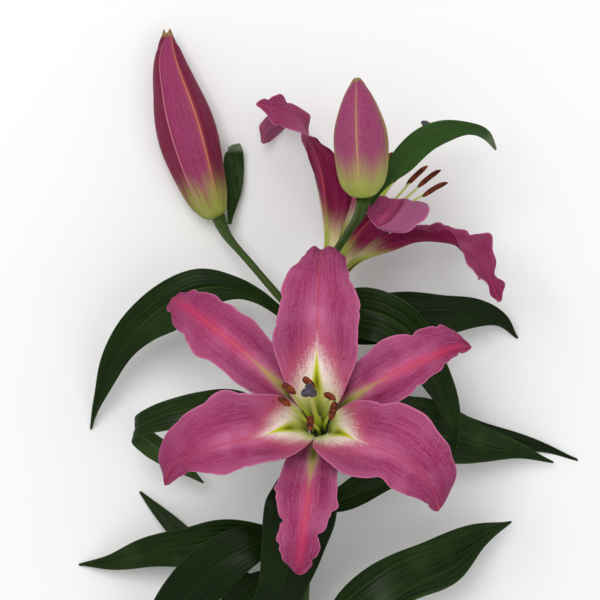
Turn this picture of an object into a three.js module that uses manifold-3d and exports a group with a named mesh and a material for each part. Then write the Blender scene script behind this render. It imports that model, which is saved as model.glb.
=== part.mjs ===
// Cut oriental lily lying on a table: one leafy stem with two open blooms and two buds.
// Millimetres, +Z up. The stem runs along Y, its cut end towards -Y, and the flowers look up.
// Points below are written from the flower head's own middle; the whole group is then moved so
// that its origin is the centre of its bounding box on the table.
import * as THREE from 'three';
import Module from 'manifold-3d';
import { mergeVertices } from 'three/addons/utils/BufferGeometryUtils.js';

const wasm = await Module();
wasm.setup();

// ---------------------------------------------------------------- driving dimensions
const ORIGIN_SHIFT = [-17.9, 126.1, 0];
const STEM_CUT_RADIUS = 4.3;
const STEM_TOP_RADIUS = 3.2;
const RECEPTACLE_RADIUS = 6.4;
const TEPAL_THICKNESS = 0.9;
const LEAF_THICKNESS = 0.8;
const TIP_HALF_WIDTH = 0.5;
const TABLE_CLEARANCE = 0.05;
const FRILL = 0.6;

const TEPAL_ROWS = 16;
const INNER_TEPAL_COLUMNS = 6;
const OUTER_TEPAL_COLUMNS = 4;
const LEAF_ROWS = 12;
const LEAF_COLUMNS = 4;
const BUD_ROWS = 12;
const BUD_SIDES = 18;
const STEM_SIDES = 10;
const STALK_SIDES = 8;
const FILAMENT_SIDES = 5;
const ANTHER_SIDES = 6;

// ---------------------------------------------------------------- colours
function material(color, roughness) {
  return new THREE.MeshStandardMaterial({ color, roughness, metalness: 0 });
}

const PETAL = material('#a94a7c', 0.55);
const PETAL_DARK = material('#9c3f70', 0.55);
const BUD_SKIN = material('#a5476f', 0.5);
const LEAF = material('#2f4a26', 0.45);
const STEM_GREEN = material('#4d6b33', 0.5);
const FILAMENT_GREEN = material('#a9b84a', 0.5);
const STIGMA_PURPLE = material('#6a5468', 0.6);

// ---------------------------------------------------------------- curves and profiles
const vector = ([x, y, z]) => new THREE.Vector3(x, y, z);

// Smooth value at u (0..1) of a list of evenly spaced values: a Catmull-Rom curve in one dimension.
function along(values, u) {
  if (typeof values === 'number') {
    return values;
  }
  const last = values.length - 1;
  const i = Math.min(Math.floor(u * last), last - 1);
  const t = u * last - i;
  const b = values[i];
  const c = values[i + 1];
  const a = i > 0 ? values[i - 1] : 2 * b - c;
  const d = i + 2 <= last ? values[i + 2] : 2 * c - b;
  const square = 2 * a - 5 * b + 4 * c - d;
  const cubic = 3 * b - a - 3 * c + d;
  return 0.5 * (2 * b + (c - a) * t + square * t * t + cubic * t ** 3);
}

// Smooth route through hand-set points, measured by its own length.
function route(points) {
  const curve = new THREE.CatmullRomCurve3(points.map(vector), false, 'catmullrom', 0.5);
  curve.arcLengthDivisions = 400;
  return curve;
}

// ---------------------------------------------------------------- solids
function meshFrom(name, positions, triangles, surface) {
  const geometry = new THREE.BufferGeometry();
  geometry.setAttribute('position', new THREE.Float32BufferAttribute(positions, 3));
  geometry.setIndex(triangles);
  geometry.computeVertexNormals();
  const mesh = new THREE.Mesh(geometry, surface);
  mesh.name = name;
  return mesh;
}

function toManifold(positions, triangles) {
  const geometry = new THREE.BufferGeometry();
  geometry.setAttribute('position', new THREE.Float32BufferAttribute(positions, 3));
  geometry.setIndex(triangles);
  const merged = mergeVertices(geometry, 1e-5);
  return new wasm.Manifold(new wasm.Mesh({
    numProp: 3,
    vertProperties: new Float32Array(merged.attributes.position.array),
    triVerts: new Uint32Array(merged.index.array),
  }));
}

function fuse(name, solids, surface) {
  let whole = solids[0];
  for (const solid of solids.slice(1)) {
    whole = whole.add(solid);
  }
  const result = whole.getMesh();
  return meshFrom(name, Array.from(result.vertProperties), Array.from(result.triVerts), surface);
}

// Rings of points joined into a closed tube, with a fan at each end.
function skinOfRings(rings) {
  const sides = rings[0].length;
  const positions = [];
  const triangles = [];
  for (const ring of rings) {
    for (const point of ring) {
      positions.push(point.x, point.y, point.z);
    }
  }
  for (let r = 0; r < rings.length - 1; r += 1) {
    for (let k = 0; k < sides; k += 1) {
      const a = r * sides + k;
      const b = r * sides + ((k + 1) % sides);
      triangles.push(a, b, b + sides, a, b + sides, a + sides);
    }
  }
  for (let k = 1; k < sides - 1; k += 1) {
    const top = (rings.length - 1) * sides;
    triangles.push(0, k + 1, k);
    triangles.push(top, top + k, top + k + 1);
  }
  return { positions, triangles };
}

// Round tube on a route: radius is a profile along it, relief(angle, u) scales it round the ring.
function tube(points, radius, sides, rows, relief = () => 1) {
  const curve = route(points);
  const rings = [];
  let across = null;
  for (let r = 0; r < rows; r += 1) {
    const u = r / (rows - 1);
    const centre = curve.getPointAt(u);
    const tangent = curve.getTangentAt(u);
    const first = Math.abs(tangent.z) < 0.9 ? new THREE.Vector3(0, 0, 1) : new THREE.Vector3(0, 1, 0);
    const guide = across ?? first;
    across = guide.clone().addScaledVector(tangent, -guide.dot(tangent)).normalize();
    const upward = new THREE.Vector3().crossVectors(tangent, across);
    const ring = [];
    for (let k = 0; k < sides; k += 1) {
      const angle = (2 * Math.PI * k) / sides;
      const size = along(radius, u) * relief(angle, u);
      ring.push(centre.clone()
        .addScaledVector(across, size * Math.cos(angle))
        .addScaledVector(upward, size * Math.sin(angle)));
    }
    rings.push(ring);
  }
  return skinOfRings(rings);
}

// Leaf or tepal: a thin curved sheet on its midrib.
//   spine       points of the midrib, from the root to the tip
//   left, right half-widths at even steps along it, as seen from the upper face
//   side        directions that the sheet spreads in at even steps, or none for one that spreads level
//   roll        turn about the midrib, degrees
//   cup         angle that each half bends towards the upper face by its edge, radians
//   keel        fold along the midrib, as a share of the half-width
//   wave        height of the edge ruffle, ripples how many there are, phase where they start; the
//               edge also swings in and out by FRILL times that height
//   blunt       share of the length over which the tip is rounded off
function sheetPoint(shape, curve, u, v) {
  const tangent = curve.getTangentAt(u);
  const centre = curve.getPointAt(u);
  let across;
  if (shape.side) {
    across = new THREE.Vector3(...[0, 1, 2].map((axis) => along(shape.side.map((way) => way[axis]), u)));
    across.addScaledVector(tangent, -across.dot(tangent)).normalize();
  } else {
    across = new THREE.Vector3(0, 0, 1).cross(tangent).normalize();
  }
  let normal = new THREE.Vector3().crossVectors(tangent, across);
  const roll = THREE.MathUtils.degToRad(along(shape.roll ?? 0, u));
  const level = across.clone();
  across.multiplyScalar(Math.cos(roll)).addScaledVector(normal, Math.sin(roll));
  normal = normal.multiplyScalar(Math.cos(roll)).addScaledVector(level, -Math.sin(roll));

  const blunt = shape.blunt ?? 0;
  const beyond = blunt > 0 ? Math.max(0, (u - 1 + blunt) / blunt) : 0;
  const rounding = Math.sqrt(Math.max(0, 1 - beyond * beyond));
  const left = Math.max(TIP_HALF_WIDTH, along(shape.left, u) * rounding);
  const right = Math.max(TIP_HALF_WIDTH, along(shape.right, u) * rounding);
  const turns = 2 * Math.PI * ((shape.ripples ?? 3) * u + (shape.phase ?? 0) + (v > 0 ? 0 : 0.37));
  const height = along(shape.wave ?? 0, u);
  const half = (v > 0 ? left : right) + FRILL * height * Math.cos(turns);
  const bend = along(shape.cup ?? 0, u) / (0.5 * (left + right));
  const reach = half * v;
  const sideways = Math.abs(bend) > 1e-4 ? Math.sin(bend * reach) / bend : reach;
  const lift = Math.abs(bend) > 1e-4 ? (1 - Math.cos(bend * reach)) / bend : 0;
  const fold = along(shape.keel ?? 0, u) * Math.abs(reach);
  const ruffle = height * v * v * Math.sin(turns);
  const point = centre
    .addScaledVector(across, sideways)
    .addScaledVector(normal, lift + fold + ruffle);
  point.z = Math.max(point.z, TABLE_CLEARANCE + 0.5 * shape.thickness);
  return point;
}

function blade(name, shape, rows, columns, surface) {
  const curve = route(shape.spine);
  const nudge = 0.004;
  const upper = [];
  const lower = [];
  for (let r = 0; r <= rows; r += 1) {
    const u = r / rows;
    for (let c = 0; c <= columns; c += 1) {
      const v = (2 * c) / columns - 1;
      const here = sheetPoint(shape, curve, u, v);
      const ahead = sheetPoint(shape, curve, Math.min(1, u + nudge), v);
      const behind = sheetPoint(shape, curve, Math.max(0, u - nudge), v);
      const out = sheetPoint(shape, curve, u, Math.min(1, v + 0.05));
      const inward = sheetPoint(shape, curve, u, Math.max(-1, v - 0.05));
      const normal = ahead.sub(behind).cross(out.sub(inward)).normalize();
      upper.push(here.clone().addScaledVector(normal, 0.5 * shape.thickness));
      lower.push(here.clone().addScaledVector(normal, -0.5 * shape.thickness));
    }
  }
  const width = columns + 1;
  const positions = [...upper, ...lower].flatMap((p) => [p.x, p.y, p.z]);
  const under = upper.length;
  const triangles = [];
  for (let r = 0; r < rows; r += 1) {
    for (let c = 0; c < columns; c += 1) {
      const a = r * width + c;
      const b = a + 1;
      const d = a + width;
      const e = d + 1;
      const corners = c < columns / 2 ? [a, d, e, a, e, b] : [a, d, b, b, d, e];
      triangles.push(...corners);
      triangles.push(...corners.map((i) => i + under).reverse());
    }
  }
  const wall = (p, q) => triangles.push(p, q, q + under, p, q + under, p + under);
  for (let c = 0; c < columns; c += 1) {
    wall(c, c + 1);
    wall(rows * width + c + 1, rows * width + c);
  }
  for (let r = 0; r < rows; r += 1) {
    wall((r + 1) * width, r * width);
    wall(r * width + columns, (r + 1) * width + columns);
  }
  return meshFrom(name, positions, triangles, surface);
}

// ---------------------------------------------------------------- blooms
// A bloom has a frame of its own: the middle of its receptacle, the axis that it opens along, and
// the direction that azimuths are counted from.
function bloomFrame(centre, axis, zero) {
  const a = vector(axis).normalize();
  const e1 = vector(zero);
  e1.addScaledVector(a, -e1.dot(a)).normalize();
  return { centre: vector(centre), axis: a, e1, e2: new THREE.Vector3().crossVectors(a, e1) };
}

function inBloom(frame, radius, azimuth, height) {
  const angle = THREE.MathUtils.degToRad(azimuth);
  return frame.centre.clone()
    .addScaledVector(frame.e1, radius * Math.cos(angle))
    .addScaledVector(frame.e2, radius * Math.sin(angle))
    .addScaledVector(frame.axis, height);
}

function sidewaysInBloom(frame, azimuth) {
  const angle = THREE.MathUtils.degToRad(azimuth + 90);
  return frame.e1.clone()
    .multiplyScalar(Math.cos(angle))
    .addScaledVector(frame.e2, Math.sin(angle))
    .toArray();
}

// Midrib of a tepal: [distance from the axis, height above the receptacle] from root to tip. The
// throat is the same for all; beyond it the reach is scaled.
const THROAT_RADIUS = 20;
const INNER_MIDRIB = [[5.5, 2], [8, 15], [12.5, 32], [21, 47], [36, 58], [56, 64], [76, 63], [91, 56],
  [99, 45]];
const OUTER_MIDRIB = [[8.5, 1], [11.5, 14], [16, 29], [24.5, 43], [39, 53], [59, 58.5], [79, 57], [95, 49],
  [104, 38]];
const INNER_CUP = [0.7, 0.9, 0.95, 0.85, 0.55, 0.3, 0.05, -0.2, -0.3];
const OUTER_CUP = [0.5, 0.6, 0.55, 0.45, 0.3, 0.2, 0.1, 0, 0];

function tepal(frame, surface, given) {
  const midrib = given.midrib ?? (given.inner ? INNER_MIDRIB : OUTER_MIDRIB);
  const last = midrib.length - 1;
  const spine = midrib.map(([radius, height], i) => {
    const beyond = Math.max(0, radius - THROAT_RADIUS);
    const reached = radius + beyond * ((given.reach ?? 1) - 1);
    const azimuth = given.azimuth + along(given.sway ?? 0, i / last);
    return inBloom(frame, reached, azimuth, height + along(given.raise ?? 0, i / last)).toArray();
  });
  const shape = {
    spine,
    side: [sidewaysInBloom(frame, given.azimuth), sidewaysInBloom(frame, given.azimuth)],
    cup: given.inner ? INNER_CUP : OUTER_CUP,
    wave: [0, 0, 0, 0.5, 1.5, 2, 2, 1.5, 0.2],
    ripples: 4,
    thickness: TEPAL_THICKNESS,
    blunt: 0.08,
    ...given,
  };
  const columns = given.inner ? INNER_TEPAL_COLUMNS : OUTER_TEPAL_COLUMNS;
  return blade(given.name, shape, TEPAL_ROWS, columns, surface);
}

const FRONT = bloomFrame([11.6, -78, 79], [-0.05, 0.22, 0.975], [1, 0, 0]);
const BACK = bloomFrame([19, 17, 61.5], [0.55, 0.835, 0], [-0.835, 0.55, 0]);

const frontTepals = [
  {
    name: 'front_tepal_top', inner: true, azimuth: 88, reach: 1.07, phase: 0.1,
    midrib: [...INNER_MIDRIB.slice(0, 6), [75, 63], [89, 57], [96, 47], [95, 36]],
    left: [4, 8.5, 14.5, 21, 26, 25.5, 22.5, 16.5, 10.5, 6],
    right: [4, 8.5, 14.5, 21, 26, 25.5, 23, 18.5, 13, 6],
    cup: [0.7, 0.9, 0.95, 0.85, 0.55, 0.3, 0.1, -0.1, -0.2, -0.2],
  },
  {
    name: 'front_tepal_left', inner: true, azimuth: 205, sway: [0, 0, 0, 0, 0, -3, -4.5, -4, 0], phase: 0.3,
    left: [4, 8.5, 14.3, 20, 19, 17, 14, 8, 4],
    right: [4, 8.5, 14.5, 22, 28, 30, 25, 15, 5],
  },
  {
    name: 'front_tepal_right', inner: true, azimuth: 321, sway: [0, 0, 0, 2, 4, 8, 7, 4, 0], reach: 0.93,
    phase: 0.55,
    left: [4, 8.5, 14.5, 22, 27, 29, 26, 19, 6],
    right: [4, 8.5, 14.6, 22.5, 23.5, 19.5, 16, 11, 4],
  },
  {
    name: 'front_tepal_upper_left', azimuth: 140, reach: 1.12, phase: 0.2,
    left: [4, 6.5, 10, 14, 17, 18, 17, 13, 5],
    right: [4, 6.5, 10, 14, 17, 18.5, 17, 12, 4],
  },
  {
    name: 'front_tepal_upper_right', azimuth: 24.5, reach: 0.97, phase: 0.65,
    left: [4, 6.5, 10, 15, 19, 20, 19, 15, 5],
    right: [4, 6.5, 10, 14, 17, 16, 9, 5, 3],
  },
  {
    name: 'front_tepal_lower', azimuth: 265, sway: [0, 0, 0, 0, 0, 0, -0.5, -1, -2], reach: 0.9, phase: 0.4,
    midrib: [[8.5, 1], [12.5, 13], [19, 26], [29, 38], [43, 48], [61, 54.5], [79, 54], [94, 47], [103, 36]],
    left: [4, 6.5, 11, 15, 17.5, 17, 12, 9, 5],
    right: [4, 6.5, 11, 16, 19, 18, 15.5, 11.5, 6],
  },
];

const backTepals = [
  {
    name: 'back_tepal_left', inner: true, azimuth: 30, phase: 0.2,
    midrib: [[5.5, 2], [11, 11], [18.5, 21], [28, 32], [38, 42], [49, 51], [62, 59], [78, 64.5], [94, 63],
      [107, 59]],
    cup: [0.7, 0.9, 1, 1, 0.9, 0.7, 0.3, 0, -0.2],
    roll: [0, 0, 6, 14, 18, 4, -34, -42, -40],
    left: [4, 8, 13, 16, 15, 14, 14, 11, 4],
    right: [4, 8, 13, 16, 19, 19, 15, 11, 4],
  },
  {
    name: 'back_tepal_left_under', azimuth: 330, phase: 0.4,
    midrib: [[8.5, 1], [12, 10], [19, 20], [29, 31], [39, 41], [50, 51], [63, 60], [78, 66], [89, 64],
      [94, 55], [93, 45]],
    left: [4, 6.5, 10, 14, 16, 16, 15, 14, 8],
    right: [4, 6.5, 10, 14, 16, 16, 15, 14, 8],
  },
  {
    name: 'back_tepal_near', azimuth: 90, sway: [0, 0, 0, 3, 7, 9, 9, 8, 7], phase: 0.7,
    midrib: [[8.5, 1], [13.5, 10], [20, 20], [27, 31], [33, 42], [38, 52], [44.5, 57], [52, 55], [58, 47],
      [60, 37]],
    side: [[0.835, -0.55, 0], [0.835, -0.55, 0], [0.93, -0.36, 0], [0.99, -0.1, -0.1], [0.99, 0.12, -0.1]],
    left: [4, 6.5, 9, 11, 14, 18, 21.5, 20, 10],
    right: [4, 5, 6, 7, 8, 10, 15, 16, 10],
  },
  {
    name: 'back_tepal_right', inner: true, azimuth: 150, phase: 0.3,
    midrib: [[5.5, 2], [8.5, 13], [17, 23], [27, 33], [37, 43], [50.5, 51.5], [65.5, 56.5], [81, 55],
      [96, 48], [108, 40]],
    cup: [0.7, 0.9, 1, 1.1, 1.2, 1.2, 0.9, 0.4, 0],
    roll: [0, 0, 0, 10, 25, 32, 40, 52, 60],
    wave: [0, 0, 0, 0.5, 1.5, 2.2, 2.8, 2.8, 0.5],
    left: [4, 8, 12, 14, 15, 15, 12, 8, 3],
    right: [4, 8, 12, 13.6, 16, 17.5, 13.5, 8, 3],
  },
  {
    name: 'back_tepal_right_under', azimuth: 208, phase: 0.1,
    midrib: [[8.5, 1], [11, 13], [18, 25], [27, 37], [38, 49], [51, 58], [65, 62], [77, 61], [86, 56],
      [91, 48]],
    left: [4, 6.5, 10, 13, 14, 14, 12, 9, 4],
    right: [4, 6.5, 10, 13, 14, 14, 12, 9, 4],
  },
  {
    name: 'back_tepal_under', inner: true, azimuth: 270, phase: 0.5,
    midrib: [[5.5, 2], [8, 15], [13, 32], [24, 45], [40, 50], [52, 46], [59, 34], [61, 18], [61, 4]],
    left: [4, 8, 13, 17, 20, 20, 17, 12, 5],
    right: [4, 8, 13, 17, 20, 20, 17, 12, 5],
  },
];

// ---------------------------------------------------------------- stamens and pistil
// Each stamen: azimuth and distance from the axis at its top, height of its anther, and the
// direction that the anther lies in. The anthers of a bloom share a length and a radius.
const FILAMENT_RADIUS = [0.9, 1.1, 1, 0.8, 0.6];
const ANTHER_SHAPE = [0.3, 0.9, 1, 0.9, 0.3];

function stamens(name, frame, anthers, list) {
  const collar = new THREE.LatheGeometry([
    new THREE.Vector2(3.2, 1.2),
    new THREE.Vector2(4.6, 1.2),
    new THREE.Vector2(4.2, 4.2),
    new THREE.Vector2(3.2, 4.2),
    new THREE.Vector2(3.2, 1.2),
  ], 12);
  const turn = new THREE.Matrix4().makeBasis(frame.e1, frame.axis, frame.e2.clone().negate());
  collar.applyMatrix4(turn.setPosition(frame.centre));
  const solids = [toManifold(Array.from(collar.attributes.position.array), Array.from(collar.index.array))];
  list.forEach((stamen, i) => {
    const root = inBloom(frame, 3.9, 60 * i + 35, 2.6);
    const quarter = inBloom(frame, 4.6, 60 * i + 35, 20);
    const top = inBloom(frame, stamen.radius, stamen.azimuth, stamen.height);
    const middle = quarter.clone().lerp(top, 0.5).addScaledVector(frame.axis, 4);
    const way = [root, quarter, middle, top].map((p) => p.toArray());
    const filament = tube(way, FILAMENT_RADIUS, FILAMENT_SIDES, 6);
    const lie = vector(stamen.lie).normalize();
    const ends = [-0.5, -0.25, 0, 0.25, 0.5].map((share) => top.clone()
      .addScaledVector(lie, share * anthers.length)
      .addScaledVector(frame.axis, -8 * share * share).toArray());
    const anther = tube(ends, ANTHER_SHAPE.map((share) => share * anthers.radius), ANTHER_SIDES, 5);
    for (const part of [filament, anther]) {
      solids.push(toManifold(part.positions, part.triangles));
    }
  });
  return fuse(name, solids, FILAMENT_GREEN);
}

function pistil(name, frame, top) {
  const spine = [[0, 0, 0.8], [0, 0, 12], [0.5, 0, 24], ...top]
    .map(([x, y, z]) => frame.centre.clone()
      .addScaledVector(frame.e1, x).addScaledVector(frame.e2, y).addScaledVector(frame.axis, z).toArray());
  const style = tube(spine, [2.2, 2.6, 2.3, 1.4, 1.3, 1.3, 1.4, 1.8], 8, 12);
  const end = spine[spine.length - 1];
  const lobes = (angle, u) => 1 + 0.16 * Math.cos(3 * angle) * Math.sin(Math.PI * u);
  const before = spine[spine.length - 2];
  const heading = vector(end).sub(vector(before)).normalize();
  const cap = [-2.2, -0.8, 0.8, 2.2].map((step) => vector(end).addScaledVector(heading, step).toArray());
  const stigma = tube(cap, [1.6, 4.2, 4.4, 2.6], 12, 6, lobes);
  const solids = [style, stigma].map((part) => toManifold(part.positions, part.triangles));
  return fuse(name, solids, STIGMA_PURPLE);
}

// ---------------------------------------------------------------- buds
// Six tepals grown shut: three outer ones with a raised rib each, and grooves between them. Their
// tips stand apart at the very end.
function bud(name, spine, radius, twist) {
  const ribs = (angle, u) => {
    const strength = Math.sin(Math.PI * Math.min(1, u + 0.08));
    const rib = Math.cos(3 * (angle - twist));
    const seam = Math.cos(6 * (angle - twist));
    const parting = Math.max(0, (u - 0.92) / 0.08);
    return 1 + strength * (0.045 * rib + 0.03 * seam) + 0.4 * parting * rib;
  };
  const { positions, triangles } = tube(spine, radius, BUD_SIDES, BUD_ROWS, ribs);
  return meshFrom(name, positions, triangles, BUD_SKIN);
}

const buds = [
  {
    name: 'bud_left',
    spine: [[-52, 51.6, 17.6], [-58.4, 66.5, 18], [-64.6, 86, 18.6], [-70.4, 106, 18.6], [-76.4, 127, 18],
      [-81.6, 148, 16.5], [-82.9, 168, 15]],
    radius: [6.5, 12.3, 14.8, 16.6, 17.8, 17.8, 16.6, 14.2, 11.6, 8, 2.4],
    twist: 0.42,
  },
  {
    name: 'bud_right',
    spine: [[37.2, 60.6, 138.4], [36.4, 77, 141], [35.4, 95, 144], [34.5, 112, 147], [33.4, 130.6, 150]],
    radius: [6.5, 12.6, 14.9, 15.8, 16.1, 16, 15.1, 13, 10.2, 6.5, 1.4],
    twist: -0.14,
  },
];

// ---------------------------------------------------------------- leaves and bracts
const leaves = [
  {
    name: 'leaf_left_upper',
    spine: [[-3.2, -16, 47], [-12, -7, 50], [-26, 2, 52], [-42, 7, 55], [-62, 7, 57], [-81, -2, 54],
      [-100, -17, 46], [-117, -39, 32], [-127, -62, 16], [-132, -82, 2]],
    left: [2.5, 4, 7, 14, 16.5, 13, 9, 6.5, 3, 0.5],
    right: [2.5, 4, 7, 12, 14, 12, 9, 6, 3, 0.5],
    roll: [0, 0, 5, 5, 0, -5, -10, -10, 0], keel: 0.12, wave: 1.2, ripples: 2.5,
  },
  {
    name: 'leaf_left_middle',
    spine: [[-2.6, -80, 42], [-17, -72, 50], [-39, -65, 56], [-61, -66, 60], [-81, -70, 60], [-97, -76, 54],
      [-102, -81, 46], [-93, -89, 38], [-79, -99, 29], [-61, -115, 16]],
    side: [[0.3, -1, 0], [0.1, -1, 0], [0.15, -1, 0.1], [0.2, -1, 0.15], [-0.2, -1, 0.2],
      [-0.6, -0.8, 0.1], [-0.67, -0.74, 0]],
    left: [2.5, 5, 9, 10.5, 10, 8, 8, 6, 0.5],
    right: [2.5, 5, 9, 9.5, 8.5, 6.5, 7, 5, 0.5],
    keel: 0.12, wave: 0.8, ripples: 2.5,
  },
  {
    name: 'leaf_left_point',
    spine: [[-4, -200, 26], [-20, -190, 19], [-40, -176, 14], [-66, -154, 11], [-86, -136, 7],
      [-101, -121, 2]],
    left: [2.5, 8, 11, 10, 6, 0.5], right: [2.5, 7, 7.5, 6, 4, 0.5],
    keel: 0.1, wave: 1, ripples: 2,
  },
  {
    name: 'leaf_left_lower',
    spine: [[-3.2, -152, 34], [-20, -148, 40], [-47, -149, 42], [-68, -153, 37], [-94, -158, 27],
      [-118, -164, 13], [-140, -168, 1]],
    left: [2.5, 9, 13, 12, 9, 5, 0.5], right: [2.5, 9, 13, 12, 9, 5, 0.5],
    keel: 0.1, wave: 1.2, ripples: 2.5,
  },
  {
    name: 'leaf_left_dark',
    spine: [[-2.6, -141, 38], [-14, -145, 56], [-30, -151, 66], [-46, -159, 67], [-61, -171, 62],
      [-74, -189, 51],
      [-84, -210, 36], [-92, -232, 18], [-97, -250, 2]],
    left: [2.5, 7, 13, 16, 17, 15, 12, 7, 0.5], right: [2.5, 8, 13.5, 16, 16.5, 15, 12, 7, 0.5],
    keel: 0.1, wave: 1.4, ripples: 2.5,
  },
  {
    name: 'leaf_low_pale',
    spine: [[-3.4, -172, 33], [-11, -172, 37], [-25, -178, 35], [-37, -192, 28], [-45, -214, 16],
      [-50, -240, 2]],
    left: [2.5, 8, 13, 13, 8, 0.5], right: [2.5, 8, 13, 13, 8, 0.5],
    keel: 0.1, wave: 1, ripples: 2,
  },
  {
    name: 'leaf_hanging',
    spine: [[0.5, -84, 45.8], [-1, -88, 54], [-1, -96, 65], [1, -108, 75], [1, -124, 80],
      [-3, -142, 79], [-8, -162, 72], [-14, -186, 58], [-20, -212, 40], [-26, -240, 18], [-30, -262, 2]],
    left: [2.5, 9, 22, 19, 15, 12, 9, 6, 0.5], right: [2.5, 9, 21, 19, 15, 13, 10, 6, 0.5],
    keel: 0.08, wave: 1.2, ripples: 2.5,
  },
  {
    name: 'leaf_right_arching',
    spine: [[8, -26, 48.5], [15, -15, 58], [29, -6, 66], [48, -8, 70], [65, -18, 70], [79, -36, 66],
      [88, -55, 60],
      [94, -78, 52], [95, -101, 44]],
    left: [2.5, 8, 14, 13, 11, 9, 7, 4, 0.5], right: [2.5, 10, 16, 17, 16, 12, 7, 3, 0.5],
    roll: [0, 5, 5, 0, 0], keel: 0.12, wave: 1.2, ripples: 2.5,
  },
  {
    name: 'leaf_right_far',
    spine: [[7, -34, 43.5], [22, -19, 43], [45, -11, 41], [68, -7, 38], [90, -6, 33], [109, -7, 26],
      [126, -13, 15], [138, -24, 3]],
    left: [2.5, 8, 12.5, 12, 10, 8, 5, 0.5], right: [2.5, 10, 16, 18, 16, 11, 5, 0.5],
    keel: 0.1, wave: 1.2, ripples: 2.5,
  },
  {
    name: 'leaf_right_front',
    spine: [[6.6, -82, 43], [24, -74, 51], [43, -75, 50], [65, -79, 43], [87, -84, 34], [111, -91, 26],
      [137, -96, 18], [160, -102, 9]],
    left: [2.5, 8, 15, 20, 18, 12, 5.5, 0.5], right: [2.5, 8, 15, 19, 16, 9, 4, 0.5],
    keel: 0.12, wave: 1.2, ripples: 2.5,
  },
  {
    name: 'leaf_right_back',
    spine: [[6.4, -66, 41], [26, -66, 36], [50, -72, 28], [76, -79, 20], [103, -84, 13], [130, -88, 6],
      [156, -94, 2], [176, -101, 1]],
    left: [2.5, 8, 15, 16, 12, 6.5, 3, 0.5], right: [2.5, 8, 15, 17, 14, 9, 4, 0.5],
    keel: 0.1, wave: 1.2, ripples: 2.5,
  },
  {
    name: 'leaf_right_short',
    spine: [[7.4, -130, 38], [20, -126, 45], [36, -120, 48], [52, -113, 46], [68, -106, 40], [84, -97, 31]],
    left: [2.5, 8, 12, 12, 8, 0.5], right: [2.5, 6.5, 6.5, 6, 5, 0.5],
    keel: 0.1, wave: 1, ripples: 2,
  },
  {
    name: 'leaf_right_lower',
    spine: [[7.2, -230, 25.5], [14, -213, 34], [24, -192, 42], [42, -175, 46], [63, -162, 43],
      [87, -154, 36],
      [111, -146, 26], [133, -139, 14]],
    left: [2.5, 4.5, 6.5, 7, 7, 7, 5.5, 0.5], right: [2.5, 12, 22, 25, 25, 22, 10, 0.5],
    keel: 0.22, wave: 1.6, ripples: 2.5,
  },
  {
    name: 'bract_left',
    spine: [[-44.2, 48, 15.5], [-42.5, 59, 10], [-41.2, 73, 6.5], [-40.8, 86, 6], [-41, 94, 8],
      [-42, 97.5, 14]],
    left: [1.2, 3.5, 6, 7, 7, 4], right: [1.2, 2.5, 4.5, 5.5, 5.5, 4],
    keel: 0.1, wave: 0.4, ripples: 1.5,
  },
  {
    name: 'bract_right',
    spine: [[42, 57, 123], [49, 69, 117], [61, 84, 108], [75, 96, 102], [89, 102, 99], [103, 104, 92],
      [113, 101, 81], [120, 92, 68]],
    left: [1.5, 4, 7, 8, 7, 4, 3, 0.5], right: [1.5, 4, 8, 8, 7, 4, 3, 0.5],
    keel: 0.12, wave: 0.6, ripples: 2,
  },
  {
    name: 'leaf_stem_a',
    spine: [[5.4, -254, 21.5], [14, -262, 34], [30, -276, 40], [48, -292, 38], [66, -308, 28],
      [82, -322, 13], [92, -332, 1]],
    left: [2.5, 8, 13, 14, 12, 8, 0.5], right: [2.5, 8, 13, 14, 12, 8, 0.5],
    keel: 0.1, wave: 1.4, ripples: 2.5,
  },
  {
    name: 'leaf_stem_b',
    spine: [[-6.4, -286, 18], [-18, -288, 30], [-36, -296, 34], [-56, -308, 30], [-74, -322, 19],
      [-88, -338, 3]],
    left: [2.5, 8, 13, 13, 9, 0.5], right: [2.5, 8, 13, 13, 9, 0.5],
    keel: 0.1, wave: 1.2, ripples: 2.5,
  },
];

// ---------------------------------------------------------------- stem
const STEM_ROUTE = [[0, -420, 4.4], [-2, -370, 8.5], [-2, -310, 14.5], [0, -245, 21.5], [2.5, -180, 30],
  [3, -120, 38],
  [2, -60, 44], [2, -7, 48], [3, 2, 50]];
const STALKS = [
  {
    route: [[2, -12, 47], [-11, 0, 44], [-31, 23, 33], [-44, 38, 25], [-49, 46.5, 19.5], [-50.4, 50, 17.8]],
    radius: [2.6, 2.4, 2.3, 2.5, 4.4],
  },
  {
    route: [[2, -10, 47], [10, 6, 63], [21, 28, 91], [30, 42, 112], [35.5, 51, 128], [36.9, 57.4, 136]],
    radius: [2.6, 2.4, 2.3, 2.5, 4.2],
  },
  {
    route: [[2, -18, 46.5], [6, -6, 49], [11, 4, 55], [15, 10.6, 60.2], [18.8, 16.6, 61.5]],
    radius: [2.6, 2.5, 2.6, 3.4, RECEPTACLE_RADIUS],
  },
  {
    route: [[2.6, -124, 38], [7, -108, 46], [12, -93, 58], [12.6, -82, 66], [11.7, -78.2, 78.4]],
    radius: [2.8, 2.6, 2.7, 3.4, RECEPTACLE_RADIUS],
  },
];

function stem() {
  const middle = 0.5 * (STEM_CUT_RADIUS + STEM_TOP_RADIUS);
  const axis = tube(STEM_ROUTE, [STEM_CUT_RADIUS, middle, STEM_TOP_RADIUS, 2.6], STEM_SIDES, 24);
  const parts = [axis, ...STALKS.map((stalk) => tube(stalk.route, stalk.radius, STALK_SIDES, 10))];
  return fuse('stem', parts.map((part) => toManifold(part.positions, part.triangles)), STEM_GREEN);
}

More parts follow.
